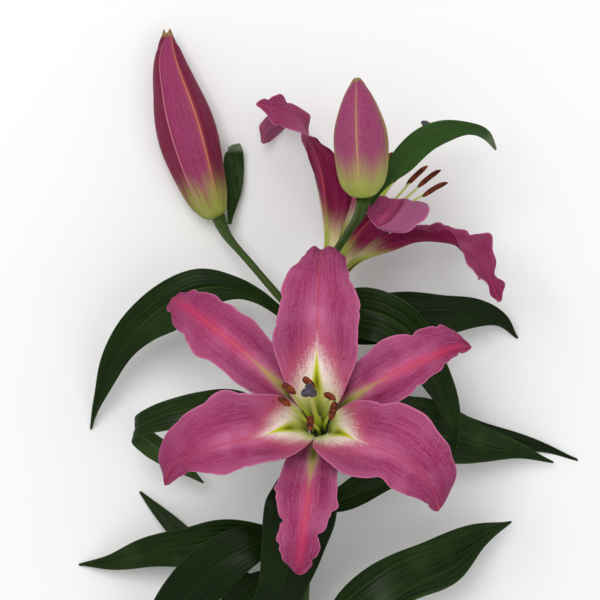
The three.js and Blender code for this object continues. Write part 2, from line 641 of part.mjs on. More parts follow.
// ---------------------------------------------------------------- the whole lily
const lily = new THREE.Group();
lily.position.set(...ORIGIN_SHIFT);
lily.add(stem());
for (const given of frontTepals) {
  lily.add(tepal(FRONT, PETAL, given));
}
for (const given of backTepals) {
  lily.add(tepal(BACK, PETAL_DARK, given));
}
for (const leaf of leaves) {
  lily.add(blade(leaf.name, { thickness: LEAF_THICKNESS, ...leaf }, LEAF_ROWS, LEAF_COLUMNS, LEAF));
}
for (const given of buds) {
  lily.add(bud(given.name, given.spine, given.radius, given.twist));
}
lily.add(stamens('front_stamens', FRONT, { length: 13, radius: 2.1 }, [
  { azimuth: 25, radius: 11, height: 76, lie: [0.45, -0.25, 0.85] },
  { azimuth: 101, radius: 12.5, height: 80, lie: [0.5, -0.45, 0.75] },
  { azimuth: 147, radius: 17, height: 78, lie: [0.6, -0.4, 0.7] },
  { azimuth: 174, radius: 17, height: 77, lie: [0.5, -0.33, 0.8] },
  { azimuth: 260, radius: 11, height: 75, lie: [0, -0.6, 0.8] },
  { azimuth: 343, radius: 12, height: 75, lie: [-0.2, -0.8, 0.5] },
]));
lily.add(pistil('front_pistil', FRONT, [[0, 0, 45], [-0.5, 1, 66], [-1.2, 2.6, 84], [-1.6, 4.2, 95]]));
lily.add(stamens('back_stamens', BACK, { length: 18, radius: 1.6 }, [
  { azimuth: 51, radius: 13, height: 76, lie: [0.6, 0.75, 0.2] },
  { azimuth: 155, radius: 28, height: 79, lie: [0.87, 0.48, 0] },
  { azimuth: 171, radius: 19, height: 83, lie: [0.8, 0.6, 0] },
  { azimuth: 203, radius: 12.5, height: 81, lie: [0.74, 0.67, 0] },
  { azimuth: 263, radius: 16, height: 76, lie: [0.6, 0.7, 0.2] },
  { azimuth: 321, radius: 13, height: 76, lie: [0.6, 0.7, 0.2] },
]));
lily.add(pistil('back_pistil', BACK, [[0, 0, 48], [0, 0, 70], [0, 0, 92], [0, 0, 108]]));

export default lily;
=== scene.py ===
# %% [markdown]
# # A cut lily, laid down on a table
# The piece is one cut stem of an oriental lily: two open blooms, two closed buds and long leaves.
# It lies on a plain surface, and the camera looks straight down on it.
# The solid model comes first, as a fixed frame. Each finer piece is then made with numpy from the
# same curves as its solid, so it lands in the same place with no fitting.

# %% Load the solid lily as the frame
import math

import bpy
import numpy as np
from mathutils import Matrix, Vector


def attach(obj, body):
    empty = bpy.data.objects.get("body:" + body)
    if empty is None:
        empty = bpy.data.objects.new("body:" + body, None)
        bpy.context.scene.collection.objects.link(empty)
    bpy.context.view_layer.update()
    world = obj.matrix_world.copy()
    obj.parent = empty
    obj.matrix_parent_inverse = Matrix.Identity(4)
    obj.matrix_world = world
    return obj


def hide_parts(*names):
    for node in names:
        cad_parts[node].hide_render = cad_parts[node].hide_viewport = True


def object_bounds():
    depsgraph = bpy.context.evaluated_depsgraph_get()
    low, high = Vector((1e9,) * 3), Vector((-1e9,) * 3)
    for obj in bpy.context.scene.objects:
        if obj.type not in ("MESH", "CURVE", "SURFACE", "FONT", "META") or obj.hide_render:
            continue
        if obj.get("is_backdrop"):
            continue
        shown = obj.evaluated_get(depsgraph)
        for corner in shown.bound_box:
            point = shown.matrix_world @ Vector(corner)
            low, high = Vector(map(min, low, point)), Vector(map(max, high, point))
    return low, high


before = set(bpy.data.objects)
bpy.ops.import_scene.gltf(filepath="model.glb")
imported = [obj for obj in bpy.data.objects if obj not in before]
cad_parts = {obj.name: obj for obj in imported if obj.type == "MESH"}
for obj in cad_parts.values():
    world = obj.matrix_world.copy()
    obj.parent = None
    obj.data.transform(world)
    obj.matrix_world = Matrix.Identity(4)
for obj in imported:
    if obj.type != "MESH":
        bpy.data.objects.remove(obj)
cad_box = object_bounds()
print("solid pieces:", len(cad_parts))
print("size of the solids in mm:", [round(1000 * (high - low), 1) for low, high in zip(*cad_box)])

# %% [markdown]
# ## Floor, light and camera
# A lily on plain white is lit from high up by two wide soft lamps, so that its shadows stay faint.
# One lamp right overhead would be simpler, but leaves that face up would mirror it and turn grey.
# A pale world fills what the lamps leave dark, and keeps low views clean.
# A long lens far away keeps the near bloom from looking larger than the far one.

# %% Lengths are in metres, and the places of the flower are written in millimetres
MM = 0.001
FLOWER_SHIFT = np.array([-17.9, 126.1, 0.0])
CAMERA_HEIGHT = 2100 * MM
CAMERA_LENS = 199.0
CAMERA_SIGHT = 60.0
FLOOR_SIDE = 30.0
FLOOR_WHITE = (0.9, 0.9, 0.9)
ROOM_LIGHT = 0.6


# %% The floor
def plain_finish(name, colour, roughness):
    """A material with one colour and one roughness, both set on the shader itself."""
    finish = bpy.data.materials.new(name)
    finish.use_nodes = True
    shader = finish.node_tree.nodes["Principled BSDF"]
    shader.inputs["Base Color"].default_value = (*colour, 1)
    shader.inputs["Roughness"].default_value = roughness
    return finish


floor_mesh = bpy.data.meshes.new("floor")
half_floor = FLOOR_SIDE / 2
corners = [(-half_floor, -half_floor, 0), (half_floor, -half_floor, 0),
           (half_floor, half_floor, 0), (-half_floor, half_floor, 0)]
floor_mesh.from_pydata(corners, [], [(0, 1, 2, 3)])
floor = bpy.data.objects.new("floor", floor_mesh)
floor_mesh.materials.append(plain_finish("pale_floor", FLOOR_WHITE, 0.9))
bpy.context.scene.collection.objects.link(floor)
floor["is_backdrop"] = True
print("floor laid,", FLOOR_SIDE, "m wide")


# %% The light
def soft_lamp(name, place, side, watts):
    """A square area lamp at place, turned so that its face looks at the middle of the floor."""
    lamp = bpy.data.lights.new(name, "AREA")
    lamp.shape = "SQUARE"
    lamp.size = side
    lamp.energy = watts
    holder = bpy.data.objects.new(name, lamp)
    holder.location = place
    x, y, z = place
    holder.rotation_euler = (math.atan2(math.hypot(x, y), z), 0, math.atan2(-y, -x) - math.pi / 2)
    bpy.context.scene.collection.objects.link(holder)
    return holder


scene = bpy.context.scene
scene.view_settings.view_transform = "Standard"
world = bpy.data.worlds.new("pale_room")
scene.world = world
world.use_nodes = True
background = world.node_tree.nodes["Background"]
background.inputs["Color"].default_value = (1, 1, 1, 1)
background.inputs["Strength"].default_value = ROOM_LIGHT
lamps = [
    soft_lamp("left_lamp", place=(-0.5, 0.85, 2.4), side=1.3, watts=31),
    soft_lamp("right_lamp", place=(1.1, -0.5, 2.2), side=1.6, watts=8),
]
print("lamps:", [(lamp.name, lamp.data.energy) for lamp in lamps])

# %% The camera looks straight down, with the flower's head at the top
camera = bpy.data.objects.new("camera", bpy.data.cameras.new("camera"))
camera.data.lens = CAMERA_LENS
camera.location = (FLOWER_SHIFT[0] * MM, FLOWER_SHIFT[1] * MM, CAMERA_HEIGHT)
camera.data.clip_end = CAMERA_SIGHT
scene.collection.objects.link(camera)
scene.camera = camera
print("camera height:", CAMERA_HEIGHT, "m, lens:", CAMERA_LENS, "mm")

# %% [markdown]
# ## Curves
# Everything on a lily follows a curve: the midrib of a petal, the stem, a filament.
# Blender has curve objects for this, but numbers are easier to reuse than objects. One small
# function smooths a list of values, and a second one measures a curve by its own length.


# %% Smooth lists and smooth routes
ROUTE_SAMPLES = 1601
ROUTE_STEP = 0.001


def along(values, u):
    """Smooth value at share u of a list of evenly spaced values, which may be points.

    Catmull-Rom: between b and c, with a before and d after, the value is the cubic in t that
    passes through b and c with the slopes (c - a) / 2 and (d - b) / 2.
    """
    values = np.asarray(values, float)
    if values.ndim == 0:
        return np.full(np.shape(u), float(values))
    last = len(values) - 1
    before, after = 2 * values[0] - values[1], 2 * values[-1] - values[-2]
    listed = np.concatenate([[before], values, [after]])
    spot = np.clip(u, 0, 1) * last
    i = np.minimum(spot.astype(int), last - 1)
    t = (spot - i).reshape(np.shape(u) + (1,) * (values.ndim - 1))
    a, b, c, d = listed[i], listed[i + 1], listed[i + 2], listed[i + 3]
    square = 2 * a - 5 * b + 4 * c - d
    cubic = 3 * b - a - 3 * c + d
    return 0.5 * (2 * b + (c - a) * t + square * t**2 + cubic * t**3)


def unit(ways):
    """The same directions with a length of one."""
    return ways / np.maximum(np.linalg.norm(ways, axis=-1, keepdims=True), 1e-12)


def route(points, u):
    """Place and direction at share u of the length of a smooth curve, and that length.

    The curve is sampled finely, its length is summed, and u is looked up in that sum.
    """
    fine = np.linspace(0, 1, ROUTE_SAMPLES)
    line = along(points, fine)
    summed = np.concatenate([[0], np.cumsum(np.linalg.norm(np.diff(line, axis=0), axis=1))])
    t = np.interp(u * summed[-1], summed, fine)
    ahead = along(points, np.minimum(t + ROUTE_STEP, 1))
    behind = along(points, np.maximum(t - ROUTE_STEP, 0))
    return along(points, t), unit(ahead - behind), summed[-1]


_, _, test_length = route([[0, 0, 0], [100, 0, 0], [200, 0, 0]], np.linspace(0, 1, 5))
print("a straight route of 200 mm measures", round(test_length, 2), "mm")

# %% [markdown]
# ## A blade: the one form behind petals and leaves
# A petal is a thin sheet that widens from its root, cups round its own midrib, rolls, and ends in
# a waved margin. It could be sculpted or simulated. A formula on a grid of two numbers keeps every
# petal editable: u runs from root to tip, and v from the right margin (-1) to the left one (+1).
# The sheet gets thickness from two copies of the grid, one along each face's side, with a rim.

# %% Values that all blades share, in mm
TABLE_GAP = 0.05
PRESSED_THICKNESS = 0.3
FRILL = 0.6
TIP_HALF_WIDTH = 0.5
FOLD_ROUNDING = 0.8
LEAST_BEND = 1e-4
RIM_SHARE = 0.3
MARGIN_CROWDING = 1.15
PATTERN_STEP = 53.7
BLADE_SHARP = 55
print("a blade's rim has", RIM_SHARE, "of its thickness, and its tip is", 2 * TIP_HALF_WIDTH, "mm wide")

# %% Small irregular waves
UNREST_LIFT = 1.6


def unrest(u, v, seed, count=5, reach=(2.0, 2.0)):
    """Smooth irregular values near -1 to 1: the mean of a few sines with seeded turns and phases.

    Such a mean seldom comes near 1, so it is lifted a little.
    """
    draw = np.random.default_rng(seed)
    total = np.zeros(np.shape(u))
    for turn_u, turn_v, phase in draw.uniform(-1, 1, (count, 3)):
        total = total + np.sin(2 * np.pi * (reach[0] * turn_u * u + reach[1] * turn_v * v + phase))
    return total / count * UNREST_LIFT


# %% The sheet itself
def sheet(shape, u, v):
    """Places of a blade's middle surface on the grid u, v.

    Beside the midrib at u the sheet goes v half-widths out, bent on a circle by the cup angle,
    folded by the keel and lifted at its margin by the wave. Half-widths swing with the wave too.
    roll turns the sheet about its midrib, and blunt rounds that share of it like an ellipse.
    """
    centre, tangent, length = route(shape["spine"], u[:, 0])
    u_mid = u[:, 0]
    if "side" in shape:
        across = along(shape["side"], u_mid)
        across = unit(across - np.sum(across * tangent, axis=1, keepdims=True) * tangent)
    else:
        across = unit(np.cross([0.0, 0.0, 1.0], tangent))
    normal = np.cross(tangent, across)
    roll = np.radians(along(shape.get("roll", 0), u_mid))[:, None]
    across, normal = (across * np.cos(roll) + normal * np.sin(roll),
                      normal * np.cos(roll) - across * np.sin(roll))
    blunt = shape.get("blunt", 0)
    beyond = np.maximum(0, (u_mid - 1 + blunt) / blunt) if blunt else np.zeros(len(u_mid))
    rounding = np.sqrt(np.maximum(0, 1 - beyond**2))
    left = np.maximum(TIP_HALF_WIDTH, along(shape["left"], u_mid) * rounding)[:, None]
    right = np.maximum(TIP_HALF_WIDTH, along(shape["right"], u_mid) * rounding)[:, None]
    ripples, phase = shape.get("ripples", 3), shape.get("phase", 0)
    other_margin = np.where(v > 0, 0, 0.37)
    turns = 2 * np.pi * (ripples * u + phase + other_margin)
    height = along(shape.get("wave", 0), u_mid)[:, None]
    swing = shape["swing"](u, v) if "swing" in shape else 0
    half = np.where(v > 0, left, right) + (FRILL * height * np.cos(turns) + swing) * np.abs(v)
    bend = along(shape.get("cup", 0), u_mid)[:, None] / (0.5 * (left + right))
    bend = np.where(np.abs(bend) < LEAST_BEND, LEAST_BEND, bend)
    reach = half * v
    sideways = np.sin(bend * reach) / bend
    lift = (1 - np.cos(bend * reach)) / bend
    fold = along(shape.get("keel", 0), u_mid)[:, None] * np.sqrt(reach**2 + FOLD_ROUNDING)
    ruffle = height * v**2 * np.sin(turns)
    relief = shape["relief"](u, v, reach) if "relief" in shape else 0
    place = (centre[:, None] + across[:, None] * sideways[..., None]
             + normal[:, None] * (lift + fold + ruffle + relief)[..., None])
    return place, reach, length


def face_normals(place):
    """Normal of a grid of places: across the change along one way and along the other."""
    return unit(np.cross(np.gradient(place, axis=0), np.gradient(place, axis=1)))


# %% From a grid to a closed Blender mesh
def grid_faces(rows, columns):
    """Four-sided faces of a grid with that many faces each way, as numbers of its points."""
    first = np.arange(rows)[:, None] * (columns + 1) + np.arange(columns)
    return np.stack([first, first + columns + 1, first + columns + 2, first + 1], -1).reshape(-1, 4)


def make_piece(name, places, face_groups, finish, notes, sharp_degrees):
    """A Blender object from places in mm, with vector notes on each point for its material.

    Each group holds faces with one number of corners. Notes are named attributes. A pattern
    reads them instead of the object's own coordinates, so it follows the surface.
    """
    corners = np.concatenate([group.ravel() for group in face_groups])
    sides = np.concatenate([np.full(len(group), group.shape[1]) for group in face_groups])
    mesh = bpy.data.meshes.new(name)
    mesh.vertices.add(len(places))
    mesh.vertices.foreach_set("co", ((places + FLOWER_SHIFT) * MM).astype(np.float32).ravel())
    mesh.loops.add(len(corners))
    mesh.loops.foreach_set("vertex_index", corners.astype(np.int32))
    mesh.polygons.add(len(sides))
    mesh.polygons.foreach_set("loop_start", (np.cumsum(sides) - sides).astype(np.int32))
    mesh.update(calc_edges=True)
    mesh.polygons.foreach_set("use_smooth", np.ones(len(sides), bool))
    for key, values in notes.items():
        attribute = mesh.attributes.new(key, "FLOAT_VECTOR", "POINT")
        attribute.data.foreach_set("vector", values.astype(np.float32).ravel())
    mesh.materials.append(finish)
    mesh.validate()
    mesh.set_sharp_from_angle(angle=math.radians(sharp_degrees))
    piece = bpy.data.objects.new(name, mesh)
    bpy.context.scene.collection.objects.link(piece)
    return piece


def rim_faces(rows, columns):
    """Faces that join the outline of one grid to that of a second grid, counted after it."""
    step = columns + 1
    count = (rows + 1) * step
    edge = np.arange(columns)
    side = np.arange(rows) * step
    root = np.stack([edge, edge + 1, edge + 1 + count, edge + count], -1)
    tip = np.stack([edge + 1, edge, edge + count, edge + 1 + count], -1) + rows * step
    right = np.stack([side + step, side, side + count, side + step + count], -1)
    left = np.stack([side, side + step, side + step + count, side + count], -1) + columns
    return np.concatenate([root, tip, right, left])


def blade(name, shape, rows, columns, thickness, finish, seed):
    """A closed blade: the sheet moved half its thickness to each side, and a rim round it.

    The thickness falls to the rim's share as a square root of what is left to the margin, and
    the cells get narrower towards it. What would pass through the table lies on it.
    """
    u, v = np.meshgrid(np.linspace(0, 1, rows + 1), np.linspace(-1, 1, columns + 1), indexing="ij")
    v = np.sign(v) * (1 - (1 - np.abs(v)) ** MARGIN_CROWDING)
    middle, reach, length = sheet(shape, u, v)
    normal = face_normals(middle)
    fullness = RIM_SHARE + (1 - RIM_SHARE) * np.sqrt(np.maximum(0, 1 - v**8))
    half = 0.5 * thickness * fullness[..., None]
    upper = (middle + normal * half).reshape(-1, 3)
    lower = (middle - normal * half).reshape(-1, 3)
    upper[:, 2] = np.maximum(upper[:, 2], TABLE_GAP + PRESSED_THICKNESS)
    lower[:, 2] = np.maximum(lower[:, 2], TABLE_GAP)
    top = grid_faces(rows, columns)
    faces = np.concatenate([top, top[:, ::-1] + len(upper), rim_faces(rows, columns)])
    front = np.stack([u.ravel(), v.ravel(), np.ones(u.size)], -1)
    in_mm = np.stack([u.ravel() * length, reach.ravel(), np.full(u.size, PATTERN_STEP * seed)], -1)
    notes = {"spot": np.concatenate([front, front * [1, 1, -1]]),
             "in_mm": np.concatenate([in_mm, in_mm])}
    places = np.concatenate([upper, lower])
    return make_piece(name, places, [faces], finish, notes, BLADE_SHARP)


def settle(piece, node):
    """The piece stands for a solid, which it hides, and rides on the stem."""
    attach(piece, "root")
    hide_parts(node)
    return piece


print("a grid of 3 by 2 cells has", len(grid_faces(3, 2)), "faces, and its rim has",
      len(rim_faces(3, 2)))

# %% [markdown]
# ## Paint that follows the petal
# A petal is painted along its own shape: a green furrow at the root, a pale halo round it, streaks
# that run to the tip, and a light margin. An image would do it, but a pattern of nodes has no
# limit of detail and can be mixed for each petal.
# A petal's points carry two notes for this: spot holds u, v and the face (1 above, -1 below), and
# in_mm holds lengths along and across, with a number that differs from petal to petal.


# %% A short way to write shader nodes
MIX_UNDER, MIX_OVER, MIX_RESULT = 6, 7, 2


class Paint:
    """A material whose nodes are written as calls. Each call gives the socket it makes."""

    def __init__(self, name, roughness, specular):
        self.material = bpy.data.materials.new(name)
        self.material.use_nodes = True
        self.tree = self.material.node_tree
        self.shader = self.tree.nodes["Principled BSDF"]
        self.shader.inputs["Roughness"].default_value = roughness
        self.shader.inputs["Specular IOR Level"].default_value = specular

    def node(self, kind, inputs, output=0, **settings):
        """One node with its settings and inputs, which are sockets or plain values."""
        made = self.tree.nodes.new(kind)
        for name, value in settings.items():
            setattr(made, name, value)
        for name, value in inputs.items():
            if isinstance(value, bpy.types.NodeSocket):
                self.tree.links.new(value, made.inputs[name])
            else:
                made.inputs[name].default_value = value
        return made.outputs[output]

    def note(self, name):
        """The three numbers of a note on the points, as separate sockets."""
        vector = self.node("ShaderNodeAttribute", {}, "Vector", attribute_name=name)
        parts = self.tree.nodes.new("ShaderNodeSeparateXYZ")
        self.tree.links.new(vector, parts.inputs[0])
        return parts.outputs[0], parts.outputs[1], parts.outputs[2]

    def math(self, operation, a, b=0.0, c=0.0):
        """One calculation on one, two or three values."""
        return self.node("ShaderNodeMath", {0: a, 1: b, 2: c}, operation=operation)

    def add(self, a, b):
        """The sum of two values."""
        return self.math("ADD", a, b)

    def times(self, value, *factors):
        """The value multiplied by every factor."""
        for factor in factors:
            value = self.math("MULTIPLY", value, factor)
        return value

    def line(self, value, factor, start):
        """The value times the factor, plus the start."""
        return self.math("MULTIPLY_ADD", value, factor, start)

    def vector(self, x, y, z):
        """Three values as one place for a pattern."""
        return self.node("ShaderNodeCombineXYZ", {0: x, 1: y, 2: z})

    def smooth(self, value, low, high):
        """0 below low, 1 above high, and a smooth step between. High may be the lower one."""
        return self.node("ShaderNodeMapRange", {"Value": value, "From Min": low, "From Max": high},
                         interpolation_type="SMOOTHSTEP")

    def noise(self, place, scale, detail=2.0, roughness=0.5):
        """Soft noise from 0 to 1."""
        return self.node("ShaderNodeTexNoise", {"Vector": place, "Scale": scale, "Detail": detail,
                                                "Roughness": roughness}, "Fac")

    def mix(self, share, under, over):
        """Colour under where share is 0, and over where it is 1."""
        inputs = {0: share}
        for socket, colour in ((MIX_UNDER, under), (MIX_OVER, over)):
            inputs[socket] = colour if isinstance(colour, bpy.types.NodeSocket) else (*colour, 1)
        return self.node("ShaderNodeMix", inputs, MIX_RESULT, data_type="RGBA")

    def coat(self, under, over, *shares):
        """A coat of the colour over, as strong as the product of all shares."""
        return self.mix(self.times(*shares), under, over)

    def finish(self, colour, height, depth_mm):
        """Joins the colour and a bump of that depth to the shader."""
        self.tree.links.new(colour, self.shader.inputs["Base Color"])
        bump = {"Height": height, "Distance": depth_mm * MM, "Strength": 1.0}
        self.tree.links.new(self.node("ShaderNodeBump", bump), self.shader.inputs["Normal"])
        return self.material


def tone(red, green, blue):
    """A colour as linear light from its 0 to 255 values on a screen, by the usual screen curve."""
    share = np.array([red, green, blue]) / 255
    dark, light = share / 12.92, ((share + 0.055) / 1.055) ** 2.4
    return tuple(float(value) for value in np.where(share <= 0.04045, dark, light))


print("a screen value of 128 is", round(tone(128, 128, 128)[0], 3), "in linear light")

# %% [markdown]
# ## Petal finish
# An inner petal has a green furrow, and round it a cream halo that runs out to a point. An outer
# petal has only an olive stripe, which turns into a rose-red band along the midrib.
# The edge of the halo is frayed by fine lines that fan out from the root, as on a real petal.
# The backs are crimson, with a warm midrib and a yellow-green root.

# %% Petal colours, as seen on a screen
PETAL_PINK = tone(166, 56, 100)
PETAL_DEEP = tone(120, 20, 70)
PETAL_LILAC = tone(200, 116, 156)
HALO_CREAM = tone(250, 240, 228)
HALO_ROSE = tone(190, 84, 108)
FURROW_LIME = tone(200, 204, 50)
FURROW_DEEP = tone(118, 130, 10)
# The throat's lime is partly its own colour and partly painted light, lighter than the real lime so
# that the deep funnel looks lit.
THROAT_LIME_AND_LIGHT = tone(228, 234, 130)
STRIPE_OLIVE = tone(184, 168, 84)
BAND_ROSE = tone(192, 50, 90)
LINE_ROSE = tone(170, 42, 84)
BACK_CRIMSON = tone(96, 10, 44)
BACK_PINK = tone(134, 32, 74)
# Plum is the tone of painted shade on upper faces that turn away from the light.
BACK_PLUM = tone(112, 24, 62)
BACK_RIB = tone(180, 76, 78)
LOBE_PAINTED_LIGHT = tone(150, 84, 120)
ROOT_CREAM = tone(214, 206, 150)
ROOT_GREEN = tone(150, 162, 62)
FRECKLE = tone(112, 20, 44)


# %% Patterns that all coats of a petal share
def petal_patterns(paint):
    """Places on the petal and four noises, by name.

    fan is fine lines from root to tip, broad is a slow change over the whole petal, clouds are
    soft blots and velvet is fine grain. wander frays every border by the fan and the velvet.
    """
    u, v, face = paint.note("spot")
    length, reach, own = paint.note("in_mm")
    place = paint.vector(reach, length, own)
    fan = paint.noise(paint.vector(paint.times(v, 34.0), paint.times(u, 7.0), own), 1.2, 3.0, 0.6)
    broad = paint.noise(paint.vector(paint.times(v, 2.2), paint.times(u, 2.6), own), 1.1, 2.0)
    velvet = paint.noise(place, 1.5, 2.0, 0.6)
    return {
        "u": u, "v": v, "face": face, "place": place,
        "side": paint.math("ABSOLUTE", v), "beside_rib": paint.math("ABSOLUTE", reach),
        "fan": fan, "broad": broad, "clouds": paint.noise(place, 0.05, 2.0), "velvet": velvet,
        "wander": paint.add(paint.line(fan, 0.12, -0.06), paint.line(velvet, 0.16, -0.08)),
    }


# %% Coats of the upper face
def petal_ground(paint, at, depth):
    """Pink and deep rose in slow turns, deeper round a pale middle, with lilac lines and a tip in
    painted shade.
    """
    smooth, u, side = paint.smooth, at["u"], at["side"]
    body = paint.mix(paint.line(at["broad"], 1.5, -0.05), PETAL_DEEP, PETAL_PINK)
    middle = smooth(side, 0.42, 0.05), smooth(u, 0.4, 0.5), smooth(u, 0.84, 0.62)
    body = paint.coat(body, PETAL_LILAC, *middle, 0.3)
    body = paint.coat(body, PETAL_LILAC, smooth(at["clouds"], 0.45, 0.7), 0.45)
    ring = smooth(u, 0.34, 0.48), smooth(u, 0.86, 0.5), smooth(side, 0.1, 0.5)
    body = paint.coat(body, PETAL_DEEP, *ring, 0.75)
    body = paint.coat(body, PETAL_LILAC, smooth(side, 0.5, 1.0), 0.24)
    # Painted shade: the outer part of the petal, which curls away from the light, is deepened.
    body = paint.coat(body, PETAL_DEEP, smooth(u, 0.6, 0.9), 0.8)
    body = paint.coat(body, PETAL_LILAC, smooth(at["fan"], 0.44, 0.72), 0.29)
    body = paint.coat(body, PETAL_LILAC, smooth(at["velvet"], 0.4, 0.72), 0.28)
    # Painted shade: depth deepens the whole upper face towards plum.
    return paint.mix(depth, body, BACK_PLUM)


def halo_and_furrow(paint, at, body):
    """A rose ring round a cream halo, a lime furrow that is widest at the root, and the throat in
    painted light.

    The halo ends where u plus a share of side to the power 0.72 comes to a border, so it is
    pointed towards the tip. The furrow ends where the distance from the rib comes to its width.
    """
    smooth, u, beside_rib = paint.smooth, at["u"], at["beside_rib"]
    body = paint.coat(body, LINE_ROSE, smooth(beside_rib, 0.8, 0.2), smooth(u, 0.44, 0.56), 0.6)
    border = paint.add(u, paint.times(paint.math("POWER", at["side"], 0.72), 0.21))
    border = paint.add(border, at["wander"])
    body = paint.coat(body, HALO_ROSE, smooth(border, 0.64, 0.47), 0.6)
    body = paint.mix(smooth(border, 0.54, 0.38), body, HALO_CREAM)
    width = paint.line(smooth(u, 0.47, 0.25), 3.7, 0.01)
    wedge = paint.math("DIVIDE", beside_rib, width)
    green = paint.coat(FURROW_LIME, FURROW_DEEP, smooth(wedge, 0.8, 0.1), smooth(u, 0.4, 0.3))
    body = paint.mix(smooth(wedge, 1.6, 0.45), body, green)
    # Painted light: the throat is painted lighter than its own lime, in place of light that reaches the
    # deep funnel.
    return paint.coat(body, THROAT_LIME_AND_LIGHT, smooth(u, 0.3, 0.18), 0.75)


def rib_stripe(paint, at, body, band):
    """A rose band along the midrib, which gives way to cream, olive and deep green at the root."""
    smooth, u, beside_rib = paint.smooth, at["u"], at["beside_rib"]
    strip = smooth(paint.add(beside_rib, paint.times(at["wander"], 20.0)), 5.0, 0.0)
    body = paint.coat(body, BAND_ROSE, strip, smooth(u, 0.36, 0.6), smooth(u, 1.1, 0.8), band)
    body = paint.coat(body, STRIPE_OLIVE, smooth(beside_rib, 0.7, 0.2), smooth(u, 0.9, 0.6), 0.12)
    body = paint.coat(body, ROOT_CREAM, smooth(beside_rib, 5.5, 0.8), smooth(u, 0.5, 0.3), 0.6)
    body = paint.coat(body, STRIPE_OLIVE, smooth(beside_rib, 1.9, 0.4), smooth(u, 0.58, 0.34), 0.8)
    return paint.coat(body, FURROW_DEEP, smooth(beside_rib, 2.6, 0.4), smooth(u, 0.4, 0.26), 0.8)


def lit_margin_shaded_crease(paint, at, body, fold):
    """Painted light and shade on a fold: the margin beyond that share of the half-width is paler, past
    a dark crease.
    """
    # Painted light: the side of the fold that faces the light is paler.
    body = paint.coat(body, LOBE_PAINTED_LIGHT, paint.smooth(at["v"], fold, fold + 0.1), 0.75)
    from_crease = paint.math("ABSOLUTE", paint.math("SUBTRACT", at["v"], fold))
    # Painted shade: a dark line along the crease.
    return paint.coat(body, BACK_CRIMSON, paint.smooth(from_crease, 0.12, 0.0), 0.6)


def freckles_and_edge(paint, at, body):
    """Dark freckles beside the furrow, and a thin pale edge."""
    cells = {"Vector": at["place"], "Scale": 0.13}
    spots = paint.smooth(paint.node("ShaderNodeTexVoronoi", cells, "Distance"), 0.11, 0.06)
    near = paint.smooth(at["u"], 0.22, 0.28), paint.smooth(at["u"], 0.48, 0.42)
    body = paint.coat(body, FRECKLE, spots, *near, paint.smooth(at["side"], 0.3, 0.4), 0.8)
    return paint.coat(body, PETAL_LILAC, paint.smooth(at["side"], 0.93, 1.0), 0.6)


# %% The under face, and the whole petal
def petal_back(paint, at, root_end):
    """Crimson with pink lines, paler tips, a warm midrib, and a cream and green root."""
    smooth, u, beside_rib = paint.smooth, at["u"], at["beside_rib"]
    back = paint.mix(smooth(at["broad"], 0.3, 0.7), BACK_CRIMSON, BACK_PINK)
    back = paint.coat(back, BACK_PINK, smooth(at["fan"], 0.4, 0.7), 0.25)
    back = paint.coat(back, PETAL_DEEP, smooth(at["side"], 0.7, 0.98), 0.4)
    back = paint.coat(back, PETAL_LILAC, smooth(u, 0.66, 0.9), 0.55)
    back = paint.coat(back, BACK_RIB, smooth(beside_rib, 1.3, 0.3), smooth(u, 0.85, 0.4), 0.5)
    back = paint.mix(smooth(paint.add(u, at["wander"]), root_end, 0.06), back, ROOT_CREAM)
    return paint.coat(back, ROOT_GREEN, smooth(beside_rib, 4.0, 1.0), smooth(u, 0.36, 0.1))


def petal_paint(name, inner, band, depth, fold=None):
    """Petal finish. inner gives the halo and the furrow; band is the strength of the rose band.

    depth from 0 to 1 deepens the upper face towards plum, as painted shade on a petal that faces away
    from the light. With fold, the margin beyond that share of the half-width is paler, past a dark
    crease, as painted light and shade on the fold.
    """
    paint = Paint(name, roughness=0.62, specular=0.07)
    at = petal_patterns(paint)
    body = petal_ground(paint, at, depth)
    body = halo_and_furrow(paint, at, body) if inner else rib_stripe(paint, at, body, band)
    if fold:
        body = lit_margin_shaded_crease(paint, at, body, fold)
    body = freckles_and_edge(paint, at, body)
    back = petal_back(paint, at, 0.3 if inner else 0.5)
    paint.shader.inputs["Sheen Weight"].default_value = 0.04
    paint.shader.inputs["Sheen Roughness"].default_value = 0.4
    paint.shader.inputs["Sheen Tint"].default_value = (1.0, 0.75, 0.9, 1)
    height = paint.add(paint.times(at["fan"], 0.5), paint.times(at["velvet"], 0.35))
    return paint.finish(paint.mix(paint.smooth(at["face"], -0.1, 0.1), back, body), height, 0.38)


petal_finishes = {
    ("front", True): petal_paint("front_inner_petal", inner=True, band=0, depth=0.0),
    ("front", False): petal_paint("front_outer_petal", inner=False, band=0.66, depth=0.0),
    # The back bloom's finishes carry depth: painted shade on petals that face away from the light.
    ("back", True): petal_paint("back_inner_petal", inner=True, band=0, depth=0.15),
    ("back", False): petal_paint("back_outer_petal", inner=False, band=0.15, depth=0.6),
    # The near petal is folded: painted light on its far margin and painted shade in its crease.
    "back_tepal_near": petal_paint("near_petal", inner=True, band=0, depth=0.15, fold=0.22),
    "back_tepal_right": petal_paint("drooping_petal", inner=True, band=0, depth=0.55),
}
print("petal finishes:", len(petal_finishes))

# %% [markdown]
# ## Petals
# Each bloom has three broad inner petals and three narrower outer ones, which open from a funnel
# and curl back. Their midribs are given from the flower's own axis, so one list of points serves
# several petals: only the azimuth, the reach and the half-widths change.

